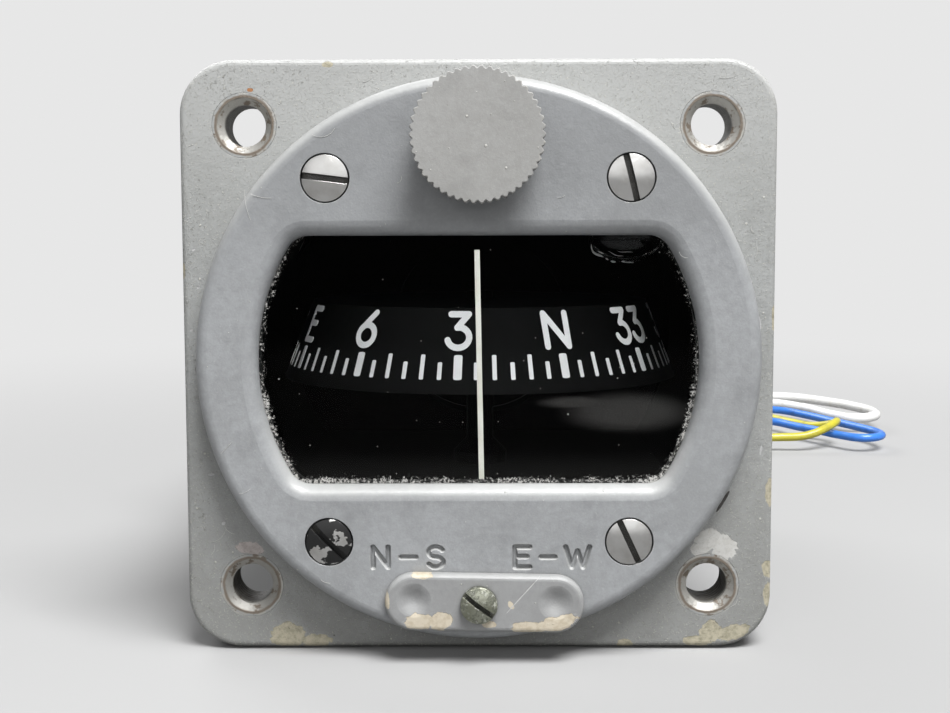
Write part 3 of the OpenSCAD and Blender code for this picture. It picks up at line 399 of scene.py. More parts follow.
def steel(name, bright, dull, rough, black_at=None, corroded=False):
    """Plated screw steel: fine scratches, tarnish, dirt and painted shade in the slots, and old black paint
    at one place or a crust of corrosion."""
    p = Paint(name)
    scratch = p.either(p.streaks(24, 2.5, 0.07, 0.7), p.streaks(-50, 2.0, 0.08, 0.72))
    tarnish = p.band(p.noise(0.5, 3, 0.5), 0.4, 0.75)
    colour = p.mix(tarnish, bright, dull)
    # Dirt and painted shade: darker in the slot and the gap around the head
    dirt = p.band(p.hollow(0.9), 0.18, 0.42)
    colour = p.mix(p.times(dirt, 0.96), colour, SLOT_DIRT_AND_SHADE)
    metallic = p.less(1.0, p.times(dirt, 0.8))
    gloss = p.spread(p.plus(scratch, p.times(tarnish, 0.6)), rough - 0.05, rough + 0.12)
    if black_at:
        near = p.band(p.spots([(*black_at, OLD_BLACK_REACH, OLD_BLACK_REACH, 0)]), 1.0, 0.98)
        flakes = p.times(near, p.band(p.noise(0.62, 3, 0.55), 0.57, 0.54))
        colour = p.mix(flakes, colour, OLD_BLACK)
        metallic = p.times(metallic, p.less(1.0, flakes))
    height = p.times(scratch, -0.002)
    if corroded:
        stain = p.times(p.band(p.noise(1.2, 5, 0.7), 0.47, 0.6), 0.75)
        elsewhere = p.vector("ADD", p.mm, (5, 5, 5))
        salts = p.times(p.band(p.noise(1.7, 5, 0.7, at=elsewhere), 0.54, 0.62), 0.8)
        colour = p.mix(stain, colour, CORROSION)
        colour = p.mix(salts, colour, SALTS)
        metallic = p.times(metallic, p.less(1.0, p.either(stain, salts)))
        height = p.plus(height, p.times(salts, 0.04))
    return p.surface(Base_Color=colour, Metallic=metallic, Roughness=gloss,
                     Normal=p.bump(height, p.rounded(0.08)))


INSERT_BRIGHT, INSERT_STAIN = (0.5, 0.49, 0.46, 1), (0.2, 0.165, 0.13, 1)
THREAD_DIRT_AND_SHADE = (0.035, 0.03, 0.022, 1)


def insert_steel(name, paint):
    """Steel insert: worn chamfer, a stained ring around it, paint left on the rim, dirt and painted shade in
    the thread, darker deeper in the bore.
    """
    p = Paint(name)
    middle = (INSERT_AT, 0, INSERT_AT)
    across = p.vector("MULTIPLY", p.vector("SUBTRACT", p.vector("ABSOLUTE", p.mm), middle), (1, 0, 1))
    radius = p.plus(p.vector("LENGTH", across), p.spread(p.noise(0.8, 3), -0.12, 0.12))
    stain = p.either(p.within(radius, 2.75, 3.05, 0.1), p.band(p.noise(0.85, 5, 0.65), 0.52, 0.62))
    colour = p.mix(stain, INSERT_BRIGHT, INSERT_STAIN)
    over = p.times(p.band(p.noise(0.5, 4, 0.6), 0.48, 0.53), p.band(radius, 2.95, 3.1))
    colour = p.mix(over, colour, paint)
    # Grime and painted shade: darker in the thread and deeper in the bore
    dirt = p.either(p.band(p.hollow(1.3), 0.4, 0.95), p.band(p.y, 0.9, 1.6))
    colour = p.mix(p.times(dirt, 0.85), colour, THREAD_DIRT_AND_SHADE)
    rings = p.times(p.math("SINE", p.times(p.y, 9.0)), p.band(p.y, 0.7, 0.9))
    height = p.plus(p.times(rings, 0.05), p.times(p.noise(2.6, 4, 0.65), 0.09))
    covered = p.either(p.either(over, dirt), p.times(stain, 0.7))
    return p.surface(Base_Color=colour, Metallic=p.times(p.less(1.0, covered), 0.6),
                     Roughness=p.spread(p.noise(1.3, 3), 0.38, 0.6),
                     Normal=p.bump(height, p.rounded(0.1)))


def metal(name, bright, dull, rough):
    """Turned brass, copper or ground steel."""
    p = Paint(name)
    colour = p.mix(p.band(p.noise(0.6, 4), 0.4, 0.65), bright, dull)
    lines = p.noise(2.0, 2, at=p.vector("MULTIPLY", p.mm, (1, 6, 1)))
    return p.surface(Base_Color=colour, Metallic=1.0,
                     Roughness=p.spread(p.noise(1.1, 3), rough - 0.07, rough + 0.1),
                     Normal=p.bump(p.times(lines, 0.006), p.rounded(0.06)))


def plain(name, light, dark, rough, gloss=0.5):
    """Moulded or painted surface with a fine grain."""
    p = Paint(name)
    colour = p.mix(p.band(p.noise(0.5, 4), 0.35, 0.65), light, dark)
    return p.surface(Base_Color=colour, Roughness=p.spread(p.noise(1.2, 3), rough - 0.08, rough + 0.08),
                     Specular_IOR_Level=gloss, Normal=p.bump(p.times(p.noise(2.0, 3), 0.01)))


def insulation(name, light, dark):
    """Extruded wire covering: glossy, with faint ripple and handling dirt."""
    p = Paint(name)
    dirt = p.band(p.noise(0.35, 4, 0.6), 0.5, 0.75)
    colour = p.mix(dirt, light, dark)
    ripple = p.times(p.noise(1.2, 2), 0.02)
    return p.surface(Base_Color=colour, Roughness=p.spread(dirt, 0.28, 0.5), Coat_Weight=0.25,
                     Coat_Roughness=0.2, Normal=p.bump(ripple))


GLASS_IOR = 1.45
GLASS_ROUGH = 0.06


def clear(name, tint, mirror):
    """Thin clear glass: straight view through, with the lights mirrored in it."""
    p = Paint(name)
    through = p.node("ShaderNodeBsdfTransparent", {"Color": tint}).outputs[0]
    shine = p.node("ShaderNodeBsdfGlossy", {"Color": grey(mirror), "Roughness": GLASS_ROUGH}).outputs[0]
    share = p.node("ShaderNodeFresnel", {"IOR": GLASS_IOR}).outputs[0]
    return p, p.blend(share, through, shine)


def simple_glass(name, tint):
    p, shader = clear(name, tint, 0.9)
    return p.finish(shader)


# Painted reflection on the window: a faint pale haze, as ellipses like those of the patches below
PAINTED_REFLECTION = [(15.0, -5.3, 5.8, 1.8, 0), (10.0, -4.3, 3.6, 0.6, 0)]
WINDOW_TINT = (0.97, 0.98, 0.98, 1)
WINDOW_MIRROR = 0.11
WINDOW_DUST_AND_REFLECTION = (0.59, 0.585, 0.56, 1)


def window_glass(name):
    """Window with fine dust along its edge, thickest in the lower corners, a faint painted reflection low
    down, and a few specks.
    """
    p, shader = clear(name, WINDOW_TINT, WINDOW_MIRROR)
    radius = p.vector("LENGTH", p.vector("MULTIPLY", p.mm, (1, 0, 1)))
    low = p.band(p.z, 3.0, -7.0)
    sides = p.times(p.band(radius, WINDOW_SIDE - 1.3, WINDOW_SIDE - 0.1), p.spread(low, 0.72, 1.0))
    foot = p.band(p.z, WINDOW_FOOT + 1.3, WINDOW_FOOT + 0.2)
    outer = p.band(p.math("ABSOLUTE", p.x), 12.0, 18.0)
    corner = p.times(outer, p.band(p.z, -6.0, WINDOW_FOOT + 0.6))
    edge = p.either(sides, p.times(foot, p.spread(corner, 0.92, 1.05)))
    powder = p.plus(p.noise(5.0, 5, 0.8), p.times(edge, 0.22))
    powder = p.plus(powder, p.spread(p.noise(0.6, 2), -0.1, 0.1))
    powder = p.band(powder, 0.7, 0.76)
    specks = p.either(p.grains(0.35, 0.3, 0.022, flat=True), p.grains(0.55, 0.1, 0.05, flat=True))
    dust = p.either(p.times(powder, 0.9), p.times(specks, 0.7))
    # Painted reflection: a faint pale haze low on the right and along the foot of the window
    painted_reflection = p.times(p.band(p.spots(PAINTED_REFLECTION), 1.3, 0.5), 0.05)
    reflection_veil = p.plus(painted_reflection, p.times(p.band(p.z, -9.0, WINDOW_FOOT), 0.012))
    outside = p.band(p.y, GLASS_FACE + 0.08, GLASS_FACE + 0.02)
    # Dust, with the painted reflection mixed in
    dust = p.times(p.either(dust, reflection_veil), outside)
    dust_and_reflection_film = p.node("ShaderNodeBsdfDiffuse", {"Color": WINDOW_DUST_AND_REFLECTION}).outputs[0]
    return p.finish(p.blend(dust, shader, dust_and_reflection_film))


# Bare patches, each (colour, stain, ellipses of x, z, half width, half height and lean)
BEIGE, BEIGE_STAIN = (0.5, 0.46, 0.35, 1), (0.34, 0.315, 0.23, 1)
PRIMER, PRIMER_STAIN = (0.6, 0.595, 0.57, 1), (0.54, 0.53, 0.5, 1)
PINK, PINK_STAIN = (0.52, 0.47, 0.45, 1), (0.42, 0.37, 0.35, 1)
BLACK, BLACK_STAIN = (0.05, 0.045, 0.04, 1), (0.08, 0.075, 0.07, 1)
RUST, RUST_STAIN = (0.45, 0.2, 0.08, 1), (0.3, 0.14, 0.06, 1)
CREAM, CREAM_STAIN = (0.64, 0.575, 0.46, 1), (0.53, 0.46, 0.345, 1)
FLANGE_PATCHES = [
    (BEIGE, BEIGE_STAIN, [
        (-19.9, -28.9, 1.8, 1.5, 0), (-16.9, -29.5, 1.6, 0.8, 0), (24.0, -28.4, 1.2, 1.1, 20),
        (26.2, -28.6, 1.8, 0.8, 15), (22.6, -29.5, 1.5, 0.6, 0), (29.95, -13.8, 0.55, 1.5, 0),
        (29.8, -22.0, 0.6, 1.0, 10), (29.9, -24.6, 0.55, 1.2, 0), (15.1, -29.8, 0.9, 0.5, 0),
        (-15.1, 29.6, 0.55, 0.3, 0), (-30.1, 9.0, 0.3, 0.9, 0), (30.1, 4.0, 0.3, 1.3, 0)]),
    (PRIMER, PRIMER_STAIN, [
        (23.7, -18.9, 1.4, 1.2, 35), (25.2, -19.7, 1.3, 1.5, -20), (22.7, -19.9, 0.9, 0.7, 0)]),
    (PINK, PINK_STAIN, [(-23.7, -19.7, 1.45, 0.7, -8)]),
    (grey(0.52), grey(0.42), [
        (-28.9, 11.1, 0.22, 0.1, 30), (-28.5, 7.3, 0.25, 0.12, 60), (-29.3, 2.9, 0.2, 0.1, 20),
        (-28.4, -1.9, 0.25, 0.15, 0), (-27.6, -12.0, 0.4, 0.15, 0), (-26.4, -17.1, 0.25, 0.2, 50),
        (28.6, 3.6, 0.12, 0.6, 10), (28.9, -9.5, 0.12, 0.5, -8)]),
    (BLACK, BLACK_STAIN, [(25.1, -14.8, 1.5, 0.17, 59)]),
    (RUST, RUST_STAIN, [(-22.9, 27.1, 0.3, 0.2, 0)]),
]
COVER_PATCHES = [
    (CREAM, CREAM_STAIN, [
        (-6.0, -26.0, 1.5, 0.85, 0), (-3.8, -25.9, 1.2, 0.95, 20), (4.9, -26.6, 1.7, 0.6, 0),
        (7.8, -26.2, 2.3, 0.75, 12), (-5.7, -21.35, 1.1, 0.3, 0), (-9.3, -23.7, 0.35, 1.1, 8),
        (3.2, -24.3, 0.25, 0.45, 30), (1.0, -26.3, 0.7, 0.35, 0)]),
    (grey(0.62), grey(0.55), [(4.35, -23.35, 2.6, 0.05, 48)]),
]

# Light and dark, or bright and dull, of each finish; then its roughness, and its gloss if unusual
CASE_GREY, CASE_DARK = (0.372, 0.38, 0.376, 1), (0.325, 0.331, 0.322, 1)
BEZEL_GREY, BEZEL_DARK = (0.362, 0.372, 0.383, 1), (0.308, 0.316, 0.323, 1)
CAP_GREY, CAP_DARK = (0.362, 0.36, 0.351, 1), (0.325, 0.322, 0.311, 1)
COVER_GREY, COVER_DARK = (0.338, 0.342, 0.344, 1), (0.305, 0.307, 0.307, 1)
NICKEL, NICKEL_DULL = (0.66, 0.655, 0.64, 1), (0.52, 0.51, 0.49, 1)
OLD_PLATE, OLD_PLATE_DULL = (0.43, 0.44, 0.36, 1), (0.28, 0.29, 0.22, 1)
BLACK_SCREW = (-15.07, -18.16)

PLAIN = {
    "rubber": (grey(0.02), grey(0.03), 0.7),
    "lubber": ((0.86, 0.85, 0.78, 1), (0.8, 0.78, 0.69, 1), 0.5),
    "card": (grey(0.012), grey(0.014), 0.62, 0.2),
    "float": (grey(0.002), grey(0.003), 0.7, 0.03),
    "phenolic": ((0.14, 0.065, 0.035, 1), (0.09, 0.04, 0.02, 1), 0.4),
    "fibre": ((0.3, 0.08, 0.045, 1), (0.2, 0.05, 0.03, 1), 0.6),
}
METALS = {
    "magnet": (grey(0.3), grey(0.2), 0.42),
    "brass": ((0.8, 0.62, 0.3, 1), (0.6, 0.44, 0.2, 1), 0.3),
    "pivot_steel": (grey(0.68), grey(0.55), 0.2),
    "diaphragm": ((0.82, 0.7, 0.44, 1), (0.66, 0.52, 0.3, 1), 0.28),
    "copper": ((0.86, 0.46, 0.28, 1), (0.55, 0.28, 0.16, 1), 0.34),
}
GLASSES = {
    "jewel": ((0.7, 0.12, 0.18, 1),),
    "bulb": ((0.95, 0.94, 0.9, 1),),
    "light_window": ((0.75, 0.1, 0.05, 1),),
}
WIRES = {
    "wire_white": ((0.93, 0.93, 0.915, 1), (0.8, 0.78, 0.72, 1)),
    "wire_blue": ((0.06, 0.24, 0.8, 1), (0.04, 0.15, 0.5, 1)),
    "wire_yellow": ((0.62, 0.56, 0.05, 1), (0.4, 0.36, 0.05, 1)),
}
finishes = {
    "case_paint": enamel("case_paint", CASE_GREY, CASE_DARK, peel=0.06, sand=0.04, wear=0.7, gloss=0.42,
                         patches=FLANGE_PATCHES, cast=True, settle_and_light=0.9),
    # The bezel takes painted shade towards its top
    "bezel_paint": enamel("bezel_paint", BEZEL_GREY, BEZEL_DARK, peel=0.035, sand=0.024, wear=0.25,
                          gloss=0.3, painted_top_shade=0.5, settle_and_light=0.9),
    "cap_paint": enamel("cap_paint", CAP_GREY, CAP_DARK, peel=0.02, sand=0.02, wear=0.6, gloss=0.5),
    "window": window_glass("window"),
    "screw_steel": steel("screw_steel", NICKEL, NICKEL_DULL, 0.33, black_at=BLACK_SCREW),
    "insert_steel": insert_steel("insert_steel", CASE_GREY),
}
for make, looks in ((plain, PLAIN), (metal, METALS), (simple_glass, GLASSES), (insulation, WIRES)):
    finishes.update({name: make(name, *look) for name, look in looks.items()})
cover_paint = enamel("cover_paint", COVER_GREY, COVER_DARK, peel=0.03, sand=0.014, wear=0.9, gloss=0.34,
                     patches=COVER_PATCHES)
cover_screw_metal = steel("cover_screw_metal", OLD_PLATE, OLD_PLATE_DULL, 0.36, corroded=True)
white_mark = plain("white_mark", (0.88, 0.88, 0.89, 1), (0.82, 0.82, 0.83, 1), 0.55)
lint_fluff = plain("lint", (0.7, 0.7, 0.68, 1), (0.55, 0.54, 0.51, 1), 0.8)

for part in frame["record"]["subparts"]:
    target = nodes[part["node"]].data
    target.materials.clear()
    target.materials.append(finishes[part["material_slot"]])
    smooth(target)
nodes["compensator_cover"].data.materials[0] = cover_paint
nodes["cover_screw"].data.materials[0] = cover_screw_metal
# Inner pieces that show through the window take the float's near-black finish, as painted shade that keeps
# the bowl behind the card dark
for name in ("jewel_post", "card_nut", "diaphragm", "pivot"):
    nodes[name].data.materials[0] = finishes["float"]


# Lamp leads: routes in millimetres, straight through the duct, a fall from the exit, then loops on the table

LAMP_Z = 21.9
REAR_FACE = 61.0
DUCT_STATIONS = (38.0, 52.0, 62.0)
LEAD_RISE = 0.7
LEAD_SIDE = 0.75
WHITE_R = 0.9
COLOUR_R = 0.7
BARE_R = 0.4
BARE_L = 5.0
STRANDS = 7
STRAND_R = 0.13
STRAND_STEPS = 14
STRAND_TWIST = 2.6
STRAND_TUCK = 0.3
LOOP_LIFT = 1.6


def lead_route(x, z, fall, loops):
    """Points of a lead; its loops spring a little clear of the table."""
    duct = [(x, y, LAMP_Z + z) for y in DUCT_STATIONS]
    fallen = [(px, REAR_FACE + py, LAMP_Z + pz) for px, py, pz in fall]
    return duct + fallen + [(px, py, pz + LOOP_LIFT) for px, py, pz in loops]


WHITE_ROUTE = lead_route(0, LEAD_RISE, [
    (0, 5, 0.6), (0.5, 11, -0.4), (1.5, 17, -2.9), (2.5, 23, -6.9), (4, 29, -12.4), (6, 35, -18.9),
    (8, 41, -25.9),
], [
    (11, 108, -11), (15, 114, -17), (20.5, 120, -21), (27, 126, -22.6), (35, 132, -22.5), (44, 137, -22.4),
    (53, 139.4, -22.2), (60.5, 138.4, -22.2), (66.5, 134, -22.5), (71, 128, -22.8), (72.97, 121.8, -23.1),
    (71.8, 117.4, -23.3), (68, 115.8, -23.4), (65, 119, -23.3), (61, 127, -22.9), (55.5, 132, -22.6),
    (48, 132.5, -22.6), (41, 129.5, -22.7), (34.5, 124.5, -23), (28, 119, -23.2),
])
BLUE_ROUTE = lead_route(LEAD_SIDE, -LEAD_SIDE, [
    (0.75, 5, -0.9), (1.5, 10, -1.9), (3, 15, -4.4), (5.5, 20, -8.9), (8.5, 25, -14.9), (12, 30, -21.9),
], [
    (16, 96, -7.5), (20.5, 101, -14.5), (26, 106.5, -20), (32, 112, -23), (38, 117.5, -23.5),
    (44, 122.5, -23.3), (50, 126, -23.1), (55.5, 125.5, -23.1), (60, 120.5, -23.4), (63.5, 114, -23.7),
    (67, 107.5, -24), (69, 103, -24.3), (68.2, 99.6, -24.4), (65, 98.6, -24.5), (61.8, 101.5, -24.4),
    (59.3, 105, -24.2), (56, 109.5, -24), (52.5, 114, -23.7), (48, 116, -23.6), (42.5, 114, -23.7),
    (37.5, 109.5, -23.9),
])
YELLOW_ROUTE = lead_route(-LEAD_SIDE, -LEAD_SIDE, [
    (-0.75, 4, -0.9), (0, 8, -2.1), (1.5, 12, -4.9), (4, 16, -9.4), (7, 19.5, -14.9), (11, 23, -21.4),
], [
    (15.5, 87, -6.5), (20.5, 90, -13), (26, 92.5, -18.5), (32, 95, -22.5), (38.5, 97.2, -24.4),
    (45, 99, -24.5), (51, 99.6, -24.5), (55.5, 99.4, -24.2), (59, 100.6, -23.2), (61.6, 103.2, -22.3),
    (61.8, 106.6, -23.1), (59.2, 109.4, -23.9), (56, 113.5, -23.8), (53, 118.2, -23.6), (48.5, 120.6, -23.4),
    (43, 118.3, -23.5), (38.5, 114.5, -23.7),
])
LEADS = {
    "lead_white": ("wire_white", WHITE_R, WHITE_ROUTE),
    "lead_blue": ("wire_blue", COLOUR_R, BLUE_ROUTE),
    "lead_yellow": ("wire_yellow", COLOUR_R, YELLOW_ROUTE),
}


def curve(name, radius, sides=4):
    data = bpy.data.curves.new(name, "CURVE")
    data.dimensions = "3D"
    data.bevel_depth = radius * MM
    data.bevel_resolution = sides
    data.resolution_u = 8
    data.use_fill_caps = True
    return data


def add_run(data, points, radii=None):
    """Adds a run of straight steps to a curve."""
    spline = data.splines.new("POLY")
    spline.points.add(len(points) - 1)
    for knot, point, radius in zip(spline.points, points, radii or [1.0] * len(points)):
        knot.co = (*point, 1)
        knot.radius = radius


def route_curve(name, route, radius):
    """One smooth curve through the points of a route."""
    data = curve(name, radius)
    spline = data.splines.new("BEZIER")
    spline.bezier_points.add(len(route) - 1)
    for knot, point in zip(spline.bezier_points, route):
        knot.co = Vector(point) * MM
        knot.handle_left_type = knot.handle_right_type = "AUTO"
    return data


def bare_strands(name, route):
    """Twisted copper strands at the cut end of a lead."""
    end = Vector(route[-1])
    along = (end - Vector(route[-2])).normalized()
    across = along.cross(Vector((0, 0, 1))).normalized()
    over = across.cross(along)
    data = curve(name, STRAND_R, 2)
    for strand in range(STRANDS):
        reach = 0.0 if strand == 0 else BARE_R - STRAND_R
        start = 2 * math.pi * strand / (STRANDS - 1)
        points = []
        for i in range(STRAND_STEPS + 1):
            share = i / STRAND_STEPS
            turn = start + STRAND_TWIST * share
            aside = reach * (across * math.cos(turn) + over * math.sin(turn))
            points.append((end + along * (BARE_L * share - STRAND_TUCK) + aside) * MM)
        add_run(data, points)
    return data


for name, (finish, radius, route) in LEADS.items():
    data = route_curve(name + "_cover", route, radius)
    wire = piece(name + "_cover", data, "case", finishes[finish])
    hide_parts(name)
    bpy.context.view_layer.update()
    bare = bare_strands(name + "_strands", route)
    strands = piece(name + "_strands", bare, "case", finishes["copper"])
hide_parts("lead_tips")


# Strokes: marks on the card and letters cut into the bezel

LINE_STEPS = 8
ARC_STEP = 15
CAP_STEPS = 6


def arc(cx, cy, rx, ry, start, end):
    """Points of an ellipse from one angle to another, in degrees."""
    steps = max(2, round(abs(end - start) / ARC_STEP))
    angles = [math.radians(start + (end - start) * i / steps) for i in range(steps + 1)]
    return [(cx + rx * math.cos(a), cy + ry * math.sin(a)) for a in angles]


def line(start, end):
    """Straight run between two points, in short steps."""
    (x0, y0), (x1, y1) = start, end
    shares = [i / LINE_STEPS for i in range(LINE_STEPS + 1)]
    return [(x0 + (x1 - x0) * share, y0 + (y1 - y0) * share) for share in shares]


# Strokes of each sign in a box of width 1 and height 1
SIGNS = {
    "0": [arc(0.5, 0.5, 0.5, 0.5, 90, 450)],
    "1": [line((0.55, 0), (0.55, 1)), line((0.55, 1), (0.2, 0.78))],
    "2": [arc(0.5, 0.7, 0.5, 0.3, 165, -25) + line((0.9, 0.52), (0.02, 0))[1:], line((0.02, 0), (1, 0))],
    "3": [line((0.08, 1), (0.94, 1)), line((0.94, 1), (0.4, 0.6)),
          line((0.4, 0.6), (0.5, 0.61))[:-1] + arc(0.46, 0.305, 0.54, 0.305, 85, -165)],
    "4": [line((0.75, 0), (0.75, 1)), line((0.75, 1), (0, 0.3)), line((0, 0.3), (1, 0.3))],
    "5": [line((0.92, 1), (0.14, 1)), line((0.14, 1), (0.1, 0.56)), arc(0.46, 0.32, 0.54, 0.32, 132, -165)],
    "6": [line((0.86, 1), (0.07, 0.46))[:-1] + arc(0.5, 0.31, 0.5, 0.31, 152, 512)],
    "N": [line((0, 0), (0, 1)), line((0, 1), (1, 0)), line((1, 0), (1, 1))],
    "E": [line((0, 0), (0, 1)), line((0, 1), (1, 1)), line((0, 0.53), (0.82, 0.53)), line((0, 0), (1, 0))],
    "S": [arc(0.5, 0.75, 0.48, 0.25, 25, 270) + arc(0.5, 0.25, 0.5, 0.25, 90, -155)[1:]],
    "W": [line((0, 1), (0.27, 0)), line((0.27, 0), (0.5, 0.8)), line((0.5, 0.8), (0.73, 0)),
          line((0.73, 0), (1, 1))],
    "-": [line((0, 0.5), (1, 0.5))],
}


def sides(path, half):
    """Points to the left and right of a path, and its direction at each end."""
    left, right, heads = [], [], []
    for i, (x, y) in enumerate(path):
        x0, y0 = path[max(i - 1, 0)]
        x1, y1 = path[min(i + 1, len(path) - 1)]
        away = math.hypot(x1 - x0, y1 - y0)
        tx, ty = (x1 - x0) / away, (y1 - y0) / away
        left.append((x - half * ty, y + half * tx))
        right.append((x + half * ty, y - half * tx))
        heads.append(math.atan2(ty, tx))
    return left, right, heads


def round_end(point, half, head, bulge):
    """Points around the end of a stroke: half round, or squarer where the bulge is small."""
    tx, ty = math.cos(head), math.sin(head)
    points = []
    for i in range(1, CAP_STEPS):
        turn = math.pi * (0.5 - i / CAP_STEPS)
        along = half * bulge * math.cos(turn) ** bulge
        aside = half * math.sin(turn)
        points.append((point[0] + along * tx - aside * ty, point[1] + along * ty + aside * tx))
    return points


def add_stroke(bm, path, place, top, low, width, low_width, bulge=1.0):
    """Closed solid along a path of (u, v) points; place(u, v, h) puts a point in space."""
    layers = []
    count = len(path)
    for height, wide in ((top, width), (low, low_width)):
        left, right, heads = sides(path, wide / 2)
        loop = left + round_end(path[-1], wide / 2, heads[-1], bulge)
        loop += right[::-1] + round_end(path[0], wide / 2, heads[0] + math.pi, bulge)
        layers.append([bm.verts.new(place(u, v, height)) for u, v in loop])
    turn = count + CAP_STEPS - 1
    for loop in layers:
        across = [loop[turn + count - 1 - i] for i in range(count)]
        for i in range(count - 1):
            bm.faces.new((loop[i], loop[i + 1], across[i + 1], across[i]))
        bm.faces.new(loop[count - 1:turn + 1])
        bm.faces.new(loop[turn + count - 1:] + loop[:1])
    upper, lower = layers
    for i in range(len(upper)):
        j = (i + 1) % len(upper)
        bm.faces.new((upper[i], upper[j], lower[j], lower[i]))


def mesh_from(bm, name):
    bmesh.ops.recalc_face_normals(bm, faces=bm.faces)
    mesh = bpy.data.meshes.new(name)
    bm.to_mesh(mesh)
    bm.free()
    return mesh


# Card marks

TICK_LOW = -2.54
TICK_HIGH = 0.0
SHORT_TICK_HIGH = -0.76
WIDE_TICK = 0.90
THIN_TICK = 0.47
TICK_BULGE = 0.45
NUMBER_LOW = 0.72
NUMBER_H = 3.45
NUMBER_W = 2.15
NUMBER_GAP = 1.05
NUMBER_STROKE = 0.66
# Width and shift of signs that differ from the rest
ODD_SIGNS = {"N": (2.5, -0.26)}
CARD_SIGNS = ["N", "3", "6", "E", "12", "15", "S", "21", "24", "W", "30", "33"]


def card_radius(z):
    return CARD_R_LOW + (CARD_R_HIGH - CARD_R_LOW) * (z - CARD_LOW) / (CARD_HIGH - CARD_LOW)


def on_card(bearing):
    """Places (u, v) on the cone around a bearing: u to the viewer's right, v the height."""
    middle = math.radians(HEADING - bearing)

    def place(u, v, lift):
        radius = card_radius(v)
        angle = middle + u / radius
        radius += lift
        return Vector((radius * math.sin(angle), CARD_Y - radius * math.cos(angle), v)) * MM

    return place


def add_sign(bm, sign, place, at, low, wide, high, stroke, top, sink, sink_width):
    for path in SIGNS[sign]:
        points = [(at + (x - 0.5) * wide, low + y * high) for x, y in path]
        add_stroke(bm, points, place, top, sink, stroke, sink_width)


def card_marks():
    bm = bmesh.new()
    for bearing in range(0, 360, 5):
        place = on_card(bearing)
        width = WIDE_TICK if bearing % 30 == 0 else THIN_TICK
        high = TICK_HIGH if bearing % 10 == 0 else SHORT_TICK_HIGH
        end = TICK_BULGE * width / 2
        ends = line((0, TICK_LOW + end), (0, high - end))
        add_stroke(bm, ends, place, MARK_TOP, MARK_SINK, width, width, TICK_BULGE)
    for i, signs in enumerate(CARD_SIGNS):
        place = on_card(30 * i)
        step = NUMBER_W + NUMBER_GAP
        for k, sign in enumerate(signs):
            wide, shift = ODD_SIGNS.get(sign, (NUMBER_W, 0.0))
            at = (k - (len(signs) - 1) / 2) * step + shift
            add_sign(bm, sign, place, at, NUMBER_LOW, wide, NUMBER_H, NUMBER_STROKE, MARK_TOP, MARK_SINK,
                     NUMBER_STROKE)
    return mesh_from(bm, "card_marks")


marks = piece("card_marks", card_marks(), "card", white_mark)
smooth(marks.data)


# Lamp cap with a shallow knurl that runs out to its face

KNOB_R = 6.35
KNOB_FRONT = -11.8
KNOB_BACK = -5.8
KNOB_TEETH = 50
KNURL_DEPTH = 0.24
KNOB_EDGE = 0.07
COLLAR_CUT = 0.05
# One tooth: share of the pitch from its middle, and depth below its tip
TOOTH = ((-0.15, 0), (0.15, 0), (0.42, KNURL_DEPTH), (0.58, KNURL_DEPTH))
# Depth along the cap and inset of each ring of the head
HEAD_RINGS = (
    (KNOB_FRONT, KNOB_EDGE), (KNOB_FRONT + KNOB_EDGE, 0), (KNOB_BACK - KNOB_EDGE, 0), (KNOB_BACK, KNOB_EDGE))
# Points of a CAD mesh nearer than this, in metres, are one
WELD = 1e-7


def welded(mesh):
    bm = bmesh.new()
    bm.from_mesh(mesh)
    bmesh.ops.remove_doubles(bm, verts=bm.verts, dist=WELD)
    return bm


def knurl_ring(bm, y, inset):
    """Ring of points around the knurl, at one depth of the cap."""
    ring = []
    for tooth in range(KNOB_TEETH):
        for share, drop in TOOTH:
            angle = 2 * math.pi * (tooth + share) / KNOB_TEETH
            radius = KNOB_R - drop - inset
            point = Vector((radius * math.cos(angle), y, LAMP_Z + radius * math.sin(angle)))
            ring.append(bm.verts.new(point * MM))
    return ring


def knurled_cap():
    """The collar and tube of the solid cap, under a head with a fresh knurl."""
    bm = welded(nodes["lamp_cap"].data)
    everything = bm.verts[:] + bm.edges[:] + bm.faces[:]
    cut = bmesh.ops.bisect_plane(bm, geom=everything, plane_co=(0, (KNOB_BACK + COLLAR_CUT) * MM, 0),
                                 plane_no=(0, -1, 0), clear_outer=True)["geom_cut"]
    bmesh.ops.holes_fill(bm, edges=[e for e in cut if isinstance(e, bmesh.types.BMEdge)])
    rim = [v for v in cut if isinstance(v, bmesh.types.BMVert)]
    bmesh.ops.translate(bm, vec=(0, -COLLAR_CUT * MM, 0), verts=rim)
    rings = [knurl_ring(bm, y, inset) for y, inset in HEAD_RINGS]
    for near, far in zip(rings[:-1], rings[1:]):
        for i in range(len(near)):
            j = (i + 1) % len(near)
            bm.faces.new((near[i], near[j], far[j], far[i]))
    for end in (rings[0], rings[-1]):
        bm.faces.new(end)
    return mesh_from(bm, "lamp_cap_knurled")


cap = piece("lamp_cap_knurled", knurled_cap(), "lamp_cap", finishes["cap_paint"])
smooth(cap.data)
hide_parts("lamp_cap")


# Bezel with the letters of its two adjusters cut in

LETTER_LOW = -20.75
LETTER_H = 2.05
LETTER_DEPTH = 0.4
# Width of the cutting strokes above the face and at the bottom of the cut
CUTTER_TOP = 0.928
CUTTER_FOOT = 0.232
# Each letter, the place of its middle, and its width
LETTERS = [
    ("N", -9.9, 1.5), ("-", -7.1, 1.5), ("S", -4.35, 1.5),
    ("E", 4.35, 1.5), ("-", 6.95, 1.4), ("W", 9.9, 2.4),
]
# Cosine of the lean up to which a face counts as flat
FLAT = 0.9999


def on_bezel(u, v, lift):
    return Vector((u, BEZEL_FACE - lift, v)) * MM


